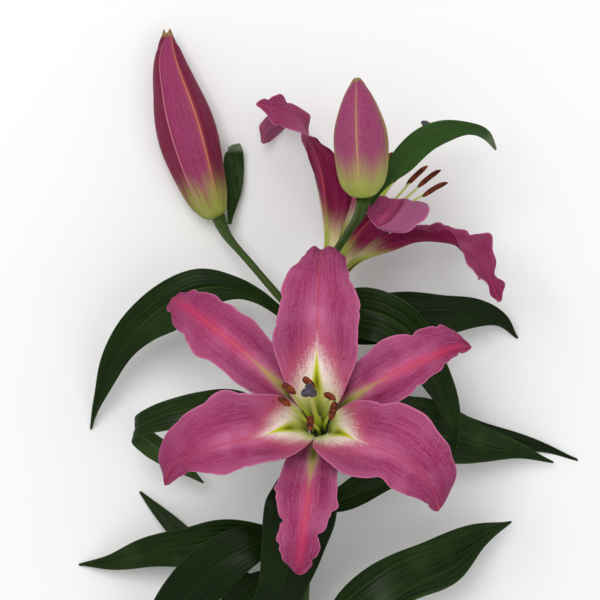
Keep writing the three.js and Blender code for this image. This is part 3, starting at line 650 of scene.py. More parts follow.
# %% Values of the blooms, in mm and degrees
THROAT_RADIUS = 20.0
PETAL_THICKNESS = 0.8
PETAL_ROWS, PETAL_COLUMNS = 120, 44
INNER_MIDRIB = [[5.5, 2], [8, 15], [12.5, 32], [21, 47], [36, 58], [56, 64], [76, 63], [91, 56],
                [99, 45]]
OUTER_MIDRIB = [[8.5, 1], [11.5, 14], [16, 29], [24.5, 43], [39, 53], [59, 58.5], [79, 57], [95, 49],
                [104, 38]]
INNER_CUP = [0.7, 0.9, 0.95, 0.85, 0.55, 0.3, 0.05, -0.2, -0.3]
OUTER_CUP = [0.5, 0.6, 0.55, 0.45, 0.3, 0.2, 0.1, 0, 0]
MARGIN_WAVE = [0, 0, 0, 0.5, 1.5, 2, 2, 1.5, 0.2]
GROOVE_WIDTH, FURROW_WIDTH, FURROW_DEPTH = 1.6, 3.0, 1.2
PLEATS, PLEAT_HEIGHT, DIMPLE_HEIGHT, FRILL_HEIGHT = 2.6, 0.4, 0.95, 1.3
MARGIN_SWING, NOTCHES, NOTCH_DEPTH, NOTCH_WIDTH = 0.75, 5.3, 1.2, 0.3
print("an inner petal reaches", INNER_MIDRIB[-1][0], "mm from the flower's axis")


# %% A bloom's own frame
def bloom_frame(centre, axis, zero):
    """Middle of the receptacle, the way the bloom opens, and two directions across it."""
    centre, axis, zero = (np.array(given, float) for given in (centre, axis, zero))
    axis = unit(axis)
    first = unit(zero - np.dot(zero, axis) * axis)
    return {"centre": centre, "axis": axis, "first": first, "second": np.cross(axis, first)}


def in_bloom(bloom, radius, azimuth, height):
    """Place at that distance from the axis, azimuth in degrees, and height above the receptacle."""
    angle = np.radians(azimuth)
    return (bloom["centre"] + bloom["first"] * radius * np.cos(angle)
            + bloom["second"] * radius * np.sin(angle) + bloom["axis"] * height)


def round_bloom(bloom, azimuth):
    """The direction that runs round the axis at that azimuth."""
    angle = np.radians(azimuth + 90)
    return bloom["first"] * np.cos(angle) + bloom["second"] * np.sin(angle)


FRONT = bloom_frame([11.6, -78, 79], [-0.05, 0.22, 0.975], [1, 0, 0])
BACK = bloom_frame([19, 17, 61.5], [0.55, 0.835, 0], [-0.835, 0.55, 0])
print("front bloom opens along", FRONT["axis"].round(2))


# %% One petal
def petal_relief(inner, seed, tip_lobes):
    """Heights on a petal, added up from six forms.

    A narrow groove on the midrib and a wider furrow near the root are bell curves of the reach.
    Pleats are a cosine across, dimples and the frill are irregular waves, and the frill grows
    with the third power of v. tip_lobes lifts both halves of a tip, so that it has two lobes.
    """
    groove_depth, furrow_depth = (0.9, FURROW_DEPTH) if inner else (0.5, 0.3 * FURROW_DEPTH)

    def relief(u, v, reach):
        groove = groove_depth * np.exp(-(reach / GROOVE_WIDTH) ** 2) * (1 - 0.6 * u)
        furrow = furrow_depth * np.exp(-(reach / FURROW_WIDTH) ** 2) * np.clip(1 - u / 0.5, 0, 1)
        pleats = np.cos(2 * np.pi * PLEATS * v + unrest(u, v, seed + 5, reach=(1.5, 0.4)))
        pleats = PLEAT_HEIGHT * pleats * np.sin(np.pi * np.clip(u, 0, 1)) * (1 - v**8)
        dimples = DIMPLE_HEIGHT * unrest(u, v, seed, count=8, reach=(4.0, 1.6))
        dimples = dimples * np.clip(3 * u - 0.6, 0, 1)
        frill = FRILL_HEIGHT * unrest(u, np.sign(v), seed + 9, count=6, reach=(13, 1))
        frill = frill * np.abs(v) ** 3 * np.clip(3 * u - 1.1, 0, 1)
        lobes = tip_lobes * np.cos(2 * np.pi * v) * np.clip((u - 0.72) / 0.2, 0, 1)
        return pleats + dimples + frill - groove - furrow - lobes
    return relief


def petal_swing(seed, unevenness):
    """How far the margin swings out and in: irregular waves, less a row of narrow notches.

    A notch lies wherever its place comes to a whole number, and a slow sine spaces them unevenly.
    All of it grows from the root's end of the petal, and unevenness scales it.
    """
    def swing(u, v):
        waves = MARGIN_SWING * unrest(u, np.sign(v), seed + 21, count=6, reach=(11, 1))
        other_margin = np.where(v > 0, 0, 0.43)
        place = NOTCHES * u + 0.31 * seed + other_margin + 0.4 * np.sin(9 * u + seed)
        notches = NOTCH_DEPTH * np.exp(-((np.sin(np.pi * place) / NOTCH_WIDTH) ** 2))
        return unevenness * (waves - notches) * np.clip(4 * u - 1.6, 0, 1)
    return swing


def petal(bloom, name, given, seed):
    """A petal of a bloom from its azimuth, its midrib and its half-widths.

    Beyond the throat the midrib's distance from the axis is scaled by reach, and sway turns it.
    Without a left list it is as wide on the left as on the right.
    """
    inner = given.get("inner", False)
    midrib = given.get("midrib", INNER_MIDRIB if inner else OUTER_MIDRIB)
    spine = []
    for i, (radius, height) in enumerate(midrib):
        reached = radius + max(0, radius - THROAT_RADIUS) * (given.get("reach", 1) - 1)
        sway = along(given.get("sway", 0), np.array(i / (len(midrib) - 1)))
        spine.append(in_bloom(bloom, reached, given["azimuth"] + float(sway), height))
    side = round_bloom(bloom, given["azimuth"])
    shape = {
        "spine": spine, "side": [side, side], "left": given["right"],
        "cup": INNER_CUP if inner else OUTER_CUP,
        "wave": MARGIN_WAVE, "ripples": 4, "blunt": 0.08,
        "relief": petal_relief(inner, seed, given.get("tip_lobes", 0)),
        "swing": petal_swing(seed, given.get("unevenness", 1)), **given,
    }
    finish = petal_finishes.get(name, petal_finishes["front" if bloom is FRONT else "back", inner])
    piece = blade(name + "_fine", shape, PETAL_ROWS, PETAL_COLUMNS, PETAL_THICKNESS, finish, seed)
    return settle(piece, name)


# %% The front bloom
front_petals = {
    "front_tepal_top": {
        "inner": True, "azimuth": 88, "reach": 1.07, "phase": 0.1, "tip_lobes": 1.5,
        "midrib": [[5.5, 2], [8, 15], [12.5, 32], [21, 47], [36, 58], [56, 64], [75, 63], [89, 57],
                   [96, 47], [95, 36]],
        "left": [4, 8.5, 14.5, 21, 26, 25.5, 22.5, 16.5, 10.5, 6],
        "right": [4, 8.5, 14.5, 21, 26, 25.5, 23, 18.5, 13, 6],
        "cup": [0.7, 0.9, 0.95, 0.85, 0.55, 0.3, 0.1, -0.1, -0.2, -0.2],
    },
    "front_tepal_left": {
        "inner": True, "azimuth": 205, "phase": 0.3,
        "sway": [0, 0, 0, 0, 0, -3, -4.5, -4, 0],
        "left": [4, 8.5, 14.3, 20, 19, 17, 14, 8, 4],
        "right": [4, 8.5, 14.5, 22, 28, 30, 25, 15, 5],
    },
    "front_tepal_right": {
        "inner": True, "azimuth": 321, "reach": 0.93, "phase": 0.55,
        "sway": [0, 0, 0, 2, 4, 8, 7, 4, 0],
        "left": [4, 8.5, 14.5, 22, 27, 29, 26, 19, 6],
        "right": [4, 8.5, 14.6, 22.5, 23.5, 19.5, 16, 11, 4],
    },
    "front_tepal_upper_left": {
        "azimuth": 140, "reach": 1.12, "phase": 0.2, "unevenness": 1.5,
        "left": [4, 6.5, 10, 14, 17, 18, 17, 13, 5],
        "right": [4, 6.5, 10, 14, 17, 18.5, 17, 12, 4],
    },
    "front_tepal_upper_right": {
        "azimuth": 24.5, "reach": 0.97, "phase": 0.65, "unevenness": 1.4,
        "left": [4, 6.5, 10, 15, 19, 20, 19, 15, 5],
        "right": [4, 6.5, 10, 14, 17, 16, 9, 5, 3],
    },
    "front_tepal_lower": {
        "azimuth": 265, "reach": 0.9, "phase": 0.4, "unevenness": 1.8,
        "sway": [0, 0, 0, 0, 0, 0, -0.5, -1, -2],
        "midrib": [[8.5, 1], [12.5, 13], [19, 26], [29, 38], [43, 48], [61, 54.5], [79, 54], [94, 47],
                   [103, 36]],
        "left": [4, 6.5, 11, 15, 17.5, 17, 12, 9, 5],
        "right": [4, 6.5, 11, 16, 19, 18, 15.5, 11.5, 6],
    },
}
for number, (name, given) in enumerate(front_petals.items()):
    petal(FRONT, name, given, number + 1)
print("front petals:", len(front_petals))

# %% The back bloom, which lies on its side and is seen from behind
back_petals = {
    "back_tepal_left": {
        "inner": True, "azimuth": 30, "phase": 0.2, "unevenness": 1.5,
        "midrib": [[5.5, 2], [11, 11], [18.5, 21], [28, 32], [38, 42], [49, 51], [62, 59], [78, 64.5],
                   [94, 63], [107, 59]],
        "left": [4, 8, 13, 16, 15, 14, 14, 11, 4],
        "right": [4, 8, 13, 16, 19, 19, 15, 11, 4],
        "cup": [0.7, 0.9, 1, 1, 0.9, 0.7, 0.3, 0, -0.2],
        "roll": [0, 0, 6, 14, 18, 4, -34, -42, -40],
    },
    "back_tepal_left_under": {
        "azimuth": 330, "phase": 0.4,
        "midrib": [[8.5, 1], [12, 10], [19, 20], [29, 31], [39, 41], [50, 51], [63, 60], [78, 66],
                   [89, 64], [94, 55], [93, 45]],
        "right": [4, 6.5, 10, 14, 16, 16, 15, 14, 8],
    },
    "back_tepal_near": {
        "azimuth": 90, "phase": 0.7,
        "sway": [0, 0, 0, 3, 7, 9, 9, 8, 7],
        "midrib": [[8.5, 1], [13.5, 10], [20, 20], [27, 31], [33, 42], [38, 52], [44.5, 57], [52, 55],
                   [58, 47], [60, 37]],
        "side": [[0.835, -0.55, 0], [0.835, -0.55, 0], [0.93, -0.36, 0], [0.99, -0.1, -0.1],
                 [0.99, 0.12, -0.1]],
        "left": [4, 6.5, 9, 11, 14, 18, 21.5, 20, 10],
        "right": [4, 5, 6, 7, 8, 10, 15, 16, 10],
    },
    "back_tepal_right": {
        "inner": True, "azimuth": 150, "phase": 0.3, "unevenness": 1.9,
        "midrib": [[5.5, 2], [8.5, 13], [17, 23], [27, 33], [37, 43], [50.5, 51.5], [65.5, 56.5],
                   [81, 55], [96, 48], [108, 40]],
        "left": [4, 8, 12, 14, 15, 15, 12, 8, 3],
        "right": [4, 8, 12, 13.6, 16, 17.5, 13.5, 8, 3],
        "cup": [0.7, 0.9, 1, 1.1, 1.2, 1.2, 0.9, 0.4, 0],
        "roll": [0, 0, 0, 10, 25, 32, 40, 52, 60],
        "wave": [0, 0, 0, 0.5, 1.5, 2.2, 2.8, 2.8, 0.5],
    },
    "back_tepal_right_under": {
        "azimuth": 208, "phase": 0.1,
        "midrib": [[8.5, 1], [11, 13], [18, 25], [27, 37], [38, 49], [51, 58], [65, 62], [77, 61],
                   [86, 56], [91, 48]],
        "right": [4, 6.5, 10, 13, 14, 14, 12, 9, 4],
    },
    "back_tepal_under": {
        "inner": True, "azimuth": 270, "phase": 0.5,
        "midrib": [[5.5, 2], [8, 15], [13, 32], [24, 45], [40, 50], [52, 46], [59, 34], [61, 18],
                   [61, 4]],
        "right": [4, 8, 13, 17, 20, 20, 17, 12, 5],
    },
}
for number, (name, given) in enumerate(back_petals.items()):
    petal(BACK, name, given, number + 11)
print("back petals:", len(back_petals))

# %% [markdown]
# ## Leaves
# A lily leaf is long and narrow, without a stalk, and its veins run side by side from root to tip.
# The veins could be painted only, but they catch the light from every side, so they are ridges in
# the mesh, and the paint adds the pale lines between them.

# %% Leaf colours, as seen on a screen
LEAF_GREEN = tone(33, 54, 15)
LEAF_DEEP = tone(12, 24, 6)
LEAF_LIGHT = tone(62, 86, 36)
LEAF_BACK = tone(70, 92, 50)
LEAF_RIB = tone(140, 158, 110)
LEAF_TIP = tone(150, 160, 134)
LEAF_YOUNG = tone(54, 88, 36)
LEAF_VEINS = 5


# %% The leaf's paint
def leaf_paint(name, tip_pale, share, tint):
    """Dark, slightly glossy green above with fine pale veins; greyer and duller beneath.

    tip_pale from 0 to 1 shows the pale underside at a tip that is folded over. share from 0 to 1
    moves the whole leaf towards tint: leaves in shade are darker as painted shade, and young ones
    lighter.
    """
    paint = Paint(name, roughness=0.32, specular=0.09)
    u, v, face = paint.note("spot")
    length, reach, own = paint.note("in_mm")
    side = paint.math("ABSOLUTE", v)
    lines = paint.noise(paint.vector(paint.times(v, 9.0), paint.times(u, 1.2), own), 2.6, 4.0, 0.65)
    clouds = paint.noise(paint.vector(reach, length, own), 0.04, 2.0)
    vein = paint.smooth(paint.math("COSINE", paint.times(v, 2 * math.pi * LEAF_VEINS)), 0.82, 1.0)
    midrib = paint.times(paint.smooth(side, 0.07, 0.02), paint.smooth(u, 1.0, 0.3))

    top = paint.mix(paint.smooth(lines, 0.3, 0.7), LEAF_DEEP, LEAF_GREEN)
    top = paint.coat(top, LEAF_LIGHT, paint.smooth(clouds, 0.45, 0.8), 0.25)
    top = paint.coat(top, LEAF_LIGHT, vein, 0.1)
    top = paint.coat(top, LEAF_LIGHT, midrib, 0.32)
    top = paint.coat(top, LEAF_LIGHT, paint.smooth(side, 0.94, 1.0), 0.4)
    under = paint.mix(paint.smooth(lines, 0.3, 0.7), LEAF_BACK, LEAF_GREEN)
    under = paint.coat(under, LEAF_RIB, midrib, 0.6)
    both = paint.mix(paint.smooth(face, -0.1, 0.1), under, top)
    both = paint.mix(share, both, tint)
    both = paint.coat(both, LEAF_LIGHT, paint.smooth(u, 0.1, 0.0), 0.5)
    tip = paint.smooth(paint.add(u, paint.line(lines, 0.1, -0.05)), 0.84, 0.92)
    both = paint.coat(both, LEAF_TIP, tip, tip_pale)
    height = paint.add(paint.times(lines, 0.6), paint.times(vein, 0.3))
    return paint.finish(both, height, 0.18)


leaf_finish = leaf_paint("leaf_finish", tip_pale=0.0, share=0.0, tint=LEAF_DEEP)
folded_leaf_finish = leaf_paint("folded_leaf_finish", tip_pale=0.75, share=0.2, tint=LEAF_YOUNG)
# Painted shade: a darker copy of the leaf finish for leaves that lie in shade.
shaded_leaf_finish = leaf_paint("shaded_leaf_finish", tip_pale=0.0, share=0.65, tint=LEAF_DEEP)
young_leaf_finish = leaf_paint("young_leaf_finish", tip_pale=0.35, share=0.5, tint=LEAF_YOUNG)
print("leaf finishes:", leaf_finish.name, folded_leaf_finish.name, shaded_leaf_finish.name,
      young_leaf_finish.name)

# %% Values of the leaves, in mm, and the leaves with a finish of their own
LEAF_THICKNESS = 0.7
LEAF_ROWS, LEAF_COLUMNS = 110, 60
LEAF_GROOVE_DEPTH, LEAF_GROOVE_WIDTH = 0.8, 1.3
VEIN_HEIGHT, DENT_HEIGHT = 0.035, 0.7
USUAL_LEAF = {"keel": 0.1, "wave": 1.2, "ripples": 2.5}
leaf_finishes = {
    "bract_left": folded_leaf_finish,
    "bract_right": young_leaf_finish,
    "leaf_right_far": shaded_leaf_finish,
    "leaf_left_dark": shaded_leaf_finish,
    "leaf_right_back": shaded_leaf_finish,
    "leaf_hanging": shaded_leaf_finish,
}
print("leaves with a finish of their own:", len(leaf_finishes))


# %% Relief and making of a leaf
def leaf_relief(seed):
    """A groove on the midrib, ridges on the veins, and broad soft dents.

    The groove is a bell curve of the reach, the ridges are a cosine of v, and the dents are
    irregular waves. The last two fade at root and tip.
    """
    def relief(u, v, reach):
        groove = LEAF_GROOVE_DEPTH * np.exp(-(reach / LEAF_GROOVE_WIDTH) ** 2) * (1 - 0.5 * u)
        veins = np.cos(2 * np.pi * LEAF_VEINS * v) * (1 - v**6) * np.sin(np.pi * u) ** 0.5
        dents = unrest(u, v, seed, count=6, reach=(2.5, 0.9)) * np.sin(np.pi * u)
        return VEIN_HEIGHT * veins + DENT_HEIGHT * dents - groove
    return relief


def leaf(name, given, seed):
    """A leaf from its midrib and its half-widths, which are equal if only the right ones are given."""
    shape = {"relief": leaf_relief(seed), "left": given["right"], **USUAL_LEAF, **given}
    finish = leaf_finishes.get(name, leaf_finish)
    piece = blade(name + "_fine", shape, LEAF_ROWS, LEAF_COLUMNS, LEAF_THICKNESS, finish, seed)
    return settle(piece, name)


# %% The leaves and the two bracts under the flower stalks
leaves = {
    "leaf_left_upper": {
        "spine": [[-3.2, -16, 47], [-12, -7, 50], [-26, 2, 52], [-42, 7, 55], [-62, 7, 57],
                  [-81, -2, 54], [-100, -17, 46], [-117, -39, 32], [-127, -62, 16], [-132, -82, 2]],
        "left": [2.5, 4, 7, 14, 16.5, 13, 9, 6.5, 3, 0.5],
        "right": [2.5, 4, 7, 12, 14, 12, 9, 6, 3, 0.5],
        "roll": [0, 0, 5, 5, 0, -5, -10, -10, 0], "keel": 0.12,
    },
    "leaf_left_middle": {
        "spine": [[-2.6, -80, 42], [-17, -72, 50], [-39, -65, 56], [-61, -66, 60], [-81, -70, 60],
                  [-97, -76, 54], [-102, -81, 46], [-93, -89, 38], [-79, -99, 29], [-61, -115, 16]],
        "side": [[0.3, -1, 0], [0.1, -1, 0], [0.15, -1, 0.1], [0.2, -1, 0.15], [-0.2, -1, 0.2],
                 [-0.6, -0.8, 0.1], [-0.67, -0.74, 0]],
        "left": [2.5, 5, 9, 10.5, 10, 8, 8, 6, 0.5],
        "right": [2.5, 5, 9, 9.5, 8.5, 6.5, 7, 5, 0.5],
        "keel": 0.12, "wave": 0.8,
    },
    "leaf_left_point": {
        "spine": [[-4, -200, 26], [-20, -190, 19], [-40, -176, 14], [-66, -154, 11], [-86, -136, 7],
                  [-101, -121, 2]],
        "left": [2.5, 8, 11, 10, 6, 0.5],
        "right": [2.5, 7, 7.5, 6, 4, 0.5],
        "wave": 1, "ripples": 2,
    },
    "leaf_left_lower": {
        "spine": [[-3.2, -152, 34], [-20, -148, 40], [-47, -149, 42], [-68, -153, 37],
                  [-94, -158, 27], [-118, -164, 13], [-140, -168, 1]],
        "right": [2.5, 9, 13, 12, 9, 5, 0.5],
    },
    "leaf_left_dark": {
        "spine": [[-2.6, -141, 38], [-14, -145, 56], [-30, -151, 66], [-46, -159, 67],
                  [-61, -171, 62], [-74, -189, 51], [-84, -210, 36], [-92, -232, 18], [-97, -250, 2]],
        "left": [2.5, 7, 13, 16, 17, 15, 12, 7, 0.5],
        "right": [2.5, 8, 13.5, 16, 16.5, 15, 12, 7, 0.5],
        "wave": 1.4,
    },
    "leaf_low_pale": {
        "spine": [[-3.4, -172, 33], [-11, -172, 37], [-25, -178, 35], [-37, -192, 28],
                  [-45, -214, 16], [-50, -240, 2]],
        "right": [2.5, 8, 13, 13, 8, 0.5],
        "wave": 1, "ripples": 2,
    },
    "leaf_hanging": {
        "spine": [[0.5, -84, 45.8], [-1, -88, 54], [-1, -96, 65], [1, -108, 75], [1, -124, 80],
                  [-3, -142, 79], [-8, -162, 72], [-14, -186, 58], [-20, -212, 40], [-26, -240, 18],
                  [-30, -262, 2]],
        "left": [2.5, 9, 22, 19, 15, 12, 9, 6, 0.5],
        "right": [2.5, 9, 21, 19, 15, 13, 10, 6, 0.5],
        "keel": 0.08,
    },
    "leaf_right_arching": {
        "spine": [[8, -26, 48.5], [15, -15, 58], [29, -6, 66], [48, -8, 70], [65, -18, 70],
                  [79, -36, 66], [88, -55, 60], [94, -78, 52], [95, -101, 44]],
        "left": [2.5, 8, 14, 13, 11, 9, 7, 4, 0.5],
        "right": [2.5, 10, 16, 17, 16, 12, 7, 3, 0.5],
        "roll": [0, 5, 5, 0, 0], "keel": 0.12,
    },
    "leaf_right_far": {
        "spine": [[7, -34, 43.5], [22, -19, 43], [45, -11, 41], [68, -7, 38], [90, -6, 33],
                  [109, -7, 26], [126, -13, 15], [138, -24, 3]],
        "left": [2.5, 8, 12.5, 12, 10, 8, 5, 0.5],
        "right": [2.5, 10, 16, 18, 16, 11, 5, 0.5],
    },
    "leaf_right_front": {
        "spine": [[6.6, -82, 43], [24, -74, 51], [43, -75, 50], [65, -79, 43], [87, -84, 34],
                  [111, -91, 26], [137, -96, 18], [160, -102, 9]],
        "left": [2.5, 8, 15, 20, 18, 12, 5.5, 0.5],
        "right": [2.5, 8, 15, 19, 16, 9, 4, 0.5],
        "keel": 0.12,
    },
    "leaf_right_back": {
        "spine": [[6.4, -66, 41], [26, -66, 36], [50, -72, 28], [76, -79, 20], [103, -84, 13],
                  [130, -88, 6], [156, -94, 2], [176, -101, 1]],
        "left": [2.5, 8, 15, 16, 12, 6.5, 3, 0.5],
        "right": [2.5, 8, 15, 17, 14, 9, 4, 0.5],
    },
    "leaf_right_short": {
        "spine": [[7.4, -130, 38], [20, -126, 45], [36, -120, 48], [52, -113, 46], [68, -106, 40],
                  [84, -97, 31]],
        "left": [2.5, 8, 12, 12, 8, 0.5],
        "right": [2.5, 6.5, 6.5, 6, 5, 0.5],
        "wave": 1, "ripples": 2,
    },
    "leaf_right_lower": {
        "spine": [[7.2, -230, 25.5], [14, -213, 34], [24, -192, 42], [42, -175, 46], [63, -162, 43],
                  [87, -154, 36], [111, -146, 26], [133, -139, 14]],
        "left": [2.5, 4.5, 6.5, 7, 7, 7, 5.5, 0.5],
        "right": [2.5, 12, 22, 25, 25, 22, 10, 0.5],
        "keel": 0.22, "wave": 1.6,
    },
    "bract_left": {
        "spine": [[-44.2, 48, 15.5], [-42.5, 59, 10], [-41.2, 73, 6.5], [-40.8, 86, 6], [-41, 94, 8],
                  [-42, 97.5, 14]],
        "left": [1.2, 3.5, 6, 7, 7, 4],
        "right": [1.2, 2.5, 4.5, 5.5, 5.5, 4],
        "wave": 0.4, "ripples": 1.5,
    },
    "bract_right": {
        "spine": [[42, 57, 123], [49, 69, 117], [61, 84, 108], [75, 96, 102], [89, 102, 99],
                  [103, 104, 92], [113, 101, 81], [120, 92, 68]],
        "left": [1.5, 4, 7, 8, 7, 4, 3, 0.5],
        "right": [1.5, 4, 8, 8, 7, 4, 3, 0.5],
        "keel": 0.12, "wave": 0.6, "ripples": 2,
    },
    "leaf_stem_a": {
        "spine": [[5.4, -254, 21.5], [14, -262, 34], [30, -276, 40], [48, -292, 38], [66, -308, 28],
                  [82, -322, 13], [92, -332, 1]],
        "right": [2.5, 8, 13, 14, 12, 8, 0.5],
        "wave": 1.4,
    },
    "leaf_stem_b": {
        "spine": [[-6.4, -286, 18], [-18, -288, 30], [-36, -296, 34], [-56, -308, 30],
                  [-74, -322, 19], [-88, -338, 3]],
        "right": [2.5, 8, 13, 13, 9, 0.5],
    },
}
for number, (name, given) in enumerate(leaves.items()):
    leaf(name, given, number + 31)
print("leaves and bracts:", len(leaves))

# %% [markdown]
# ## Stem and flower stalks
# The stem is a round tube that tapers, with faint ribs and a low ring where each leaf was attached.
# The stalks grow out of it and swell where they carry a bloom. A curve with a bevel would give a
# plain tube. A ring of points along a route allows ribs, rings and a cut face.


# %% A tube on a route
TUBE_SHARP = 50


def tube_grid(points, radius, sides, rows, relief=None):
    """Rings of places on a route, with u and the angle at each of them.

    Each ring lies across the route. Its starting direction is carried from ring to ring, so the
    tube doesn't twist. relief(u, angle) scales the radius.
    """
    u = np.linspace(0, 1, rows)
    centre, tangent, length = route(points, u)
    across = np.zeros((rows, 3))
    guide = np.array([0.0, 0, 1]) if abs(tangent[0][2]) < 0.9 else np.array([0.0, 1, 0])
    for i, way in enumerate(tangent):
        guide = unit(guide - np.dot(guide, way) * way)
        across[i] = guide
    upward = np.cross(tangent, across)
    angle = np.linspace(0, 2 * np.pi, sides, endpoint=False)
    grid_u, grid_angle = np.meshgrid(u, angle, indexing="ij")
    size = along(radius, u)[:, None] * (relief(grid_u, grid_angle) if relief else 1)
    places = (centre[:, None] + across[:, None] * (size * np.cos(angle))[..., None]
              + upward[:, None] * (size * np.sin(angle))[..., None])
    return places, grid_u, grid_angle, length


def tube_faces(rows, sides):
    """Faces between rings, and a fan of faces from each end point. The end points come last."""
    ring = np.arange(rows - 1)[:, None] * sides
    here, after = np.arange(sides), (np.arange(sides) + 1) % sides
    quads = np.stack([ring + here, ring + after, ring + after + sides, ring + here + sides], -1)
    first, last, top = rows * sides, rows * sides + 1, (rows - 1) * sides
    low = np.stack([after, here, np.full(sides, first)], -1)
    high = np.stack([here + top, after + top, np.full(sides, last)], -1)
    return [quads.reshape(-1, 4), low, high]


def tube(points, radius, sides, rows, relief=None):
    """Places, faces and notes of a closed tube.

    Its note spot holds u, then the cosine and the sine of the angle, which have no seam where a
    full turn ends. in_mm holds the length to each point and the length of the whole tube.
    """
    places, u, angle, length = tube_grid(points, radius, sides, rows, relief)
    ends = np.stack([places[0].mean(0), places[-1].mean(0)])
    flat = np.concatenate([places.reshape(-1, 3), ends])
    all_u = np.concatenate([u.ravel(), [0, 1]])
    all_angle = np.concatenate([angle.ravel(), [0, 0]])
    spot = np.stack([all_u, np.cos(all_angle), np.sin(all_angle)], -1)
    in_mm = np.stack([all_u * length, np.full(len(flat), length), np.zeros(len(flat))], -1)
    return {"places": flat, "faces": tube_faces(rows, sides), "spot": spot, "in_mm": in_mm}


def tubes_piece(name, tubes, finish):
    """Several closed tubes as one object: the faces of each count on from the points before it."""
    places = np.concatenate([one["places"] for one in tubes])
    starts = np.cumsum([0] + [len(one["places"]) for one in tubes[:-1]])
    groups = [group + start for start, one in zip(starts, tubes) for group in one["faces"]]
    notes = {key: np.concatenate([one[key] for one in tubes]) for key in ("spot", "in_mm")}
    return make_piece(name, places, groups, finish, notes, TUBE_SHARP)


test_tube = tube([[0, 0, 0], [0, 0, 50], [0, 0, 100]], [5, 5], sides=12, rows=4)
print("a tube with 4 rings of 12 points has", sum(len(group) for group in test_tube["faces"]), "faces")

# %% Stem colours and paint
STEM_GREEN = tone(60, 84, 30)
STEM_DEEP = tone(38, 56, 20)
STEM_PALE = tone(92, 112, 46)


def stem_paint():
    """Mid green with fine streaks along the stem, and paler patches."""
    paint = Paint("stem_finish", roughness=0.45, specular=0.15)
    _, across, upward = paint.note("spot")
    length, _, _ = paint.note("in_mm")
    place = paint.vector(paint.times(across, 4.0), paint.times(upward, 4.0), paint.times(length, 0.03))
    streaks = paint.noise(place, 2.0, 4.0, 0.6)
    patches = paint.noise(place, 0.5, 2.0)
    colour = paint.mix(paint.smooth(streaks, 0.32, 0.7), STEM_DEEP, STEM_GREEN)
    colour = paint.coat(colour, STEM_PALE, paint.smooth(patches, 0.45, 0.8), 0.5)
    return paint.finish(colour, streaks, 0.25)


stem_finish = stem_paint()
print("stem finish:", stem_finish.name)

# %% The stem with its four stalks
STEM_ROUTE = [[0, -420, 4.4], [-2, -370, 8.5], [-2, -310, 14.5], [0, -245, 21.5], [2.5, -180, 30],
              [3, -120, 38], [2, -60, 44], [2, -7, 48], [3, 2, 50]]
STALKS = [
    ([[2, -12, 47], [-11, 0, 44], [-31, 23, 33], [-44, 38, 25], [-49, 46.5, 19.5], [-50.4, 50, 17.8]],
     [2.6, 2.4, 2.3, 2.5, 4.4]),
    ([[2, -10, 47], [10, 6, 63], [21, 28, 91], [30, 42, 112], [35.5, 51, 128], [36.9, 57.4, 136]],
     [2.6, 2.4, 2.3, 2.5, 4.2]),
    ([[2, -18, 46.5], [6, -6, 49], [11, 4, 55], [15, 10.6, 60.2], [18.8, 16.6, 61.5]],
     [2.6, 2.5, 2.6, 3.4, 6.4]),
    ([[2.6, -124, 38], [7, -108, 46], [12, -93, 58], [12.6, -82, 66], [11.7, -78.2, 78.4]],
     [2.8, 2.6, 2.7, 3.4, 6.4]),
]
STEM_RADIUS = [4.3, 3.75, 3.2, 2.6]
STALK_OVERLAP = 2.5
LEAF_RINGS = np.array([0.3, 0.38, 0.44, 0.51, 0.57, 0.63, 0.66, 0.7, 0.79, 0.83, 0.89, 0.93])
RING_LENGTH, RING_HEIGHT = 0.004, 0.07


def stem_relief(u, angle):
    """Seven faint ribs, a low swelling at each leaf, and small irregular swellings between them."""
    rings = np.exp(-((u[..., None] - LEAF_RINGS) / RING_LENGTH) ** 2).sum(-1)
    ribs = 0.025 * np.cos(7 * angle)
    swellings = 0.02 * unrest(u, angle, seed=77, count=6, reach=(9, 0))
    return 1 + ribs + RING_HEIGHT * rings + swellings


def stalk_relief(u, angle):
    """Three shallow grooves."""
    return 1 + 0.04 * np.cos(3 * angle)


stem_tubes = [tube(STEM_ROUTE, STEM_RADIUS, sides=40, rows=320, relief=stem_relief)]
for points, radius in STALKS:
    heading = unit(np.subtract(points[-1], points[-2]))
    into_flower = np.add(points[-1], heading * STALK_OVERLAP)
    stem_tubes.append(tube([*points, into_flower], radius, sides=32, rows=70, relief=stalk_relief))
settle(tubes_piece("stem_fine", stem_tubes, stem_finish), "stem")
print("stem route:", round(route(STEM_ROUTE, np.array([0.0, 1.0]))[2]), "mm")

# %% [markdown]
# ## Buds
# A closed bud is six petals grown shut: three outer ones with a raised rib each, and seams between
# them. Six thin petals could be closed round each other, but only their outsides show. One closed
# form whose radius rises at the ribs and falls in the seams looks the same and has no hidden faces.

# %% Bud colours, as seen on a screen
BUD_GREEN = tone(154, 168, 72)
BUD_TIP = tone(146, 142, 62)
LINE_PALE = tone(198, 128, 138)
LINE_SALMON = tone(206, 126, 92)
LINE_OLIVE = tone(178, 138, 92)


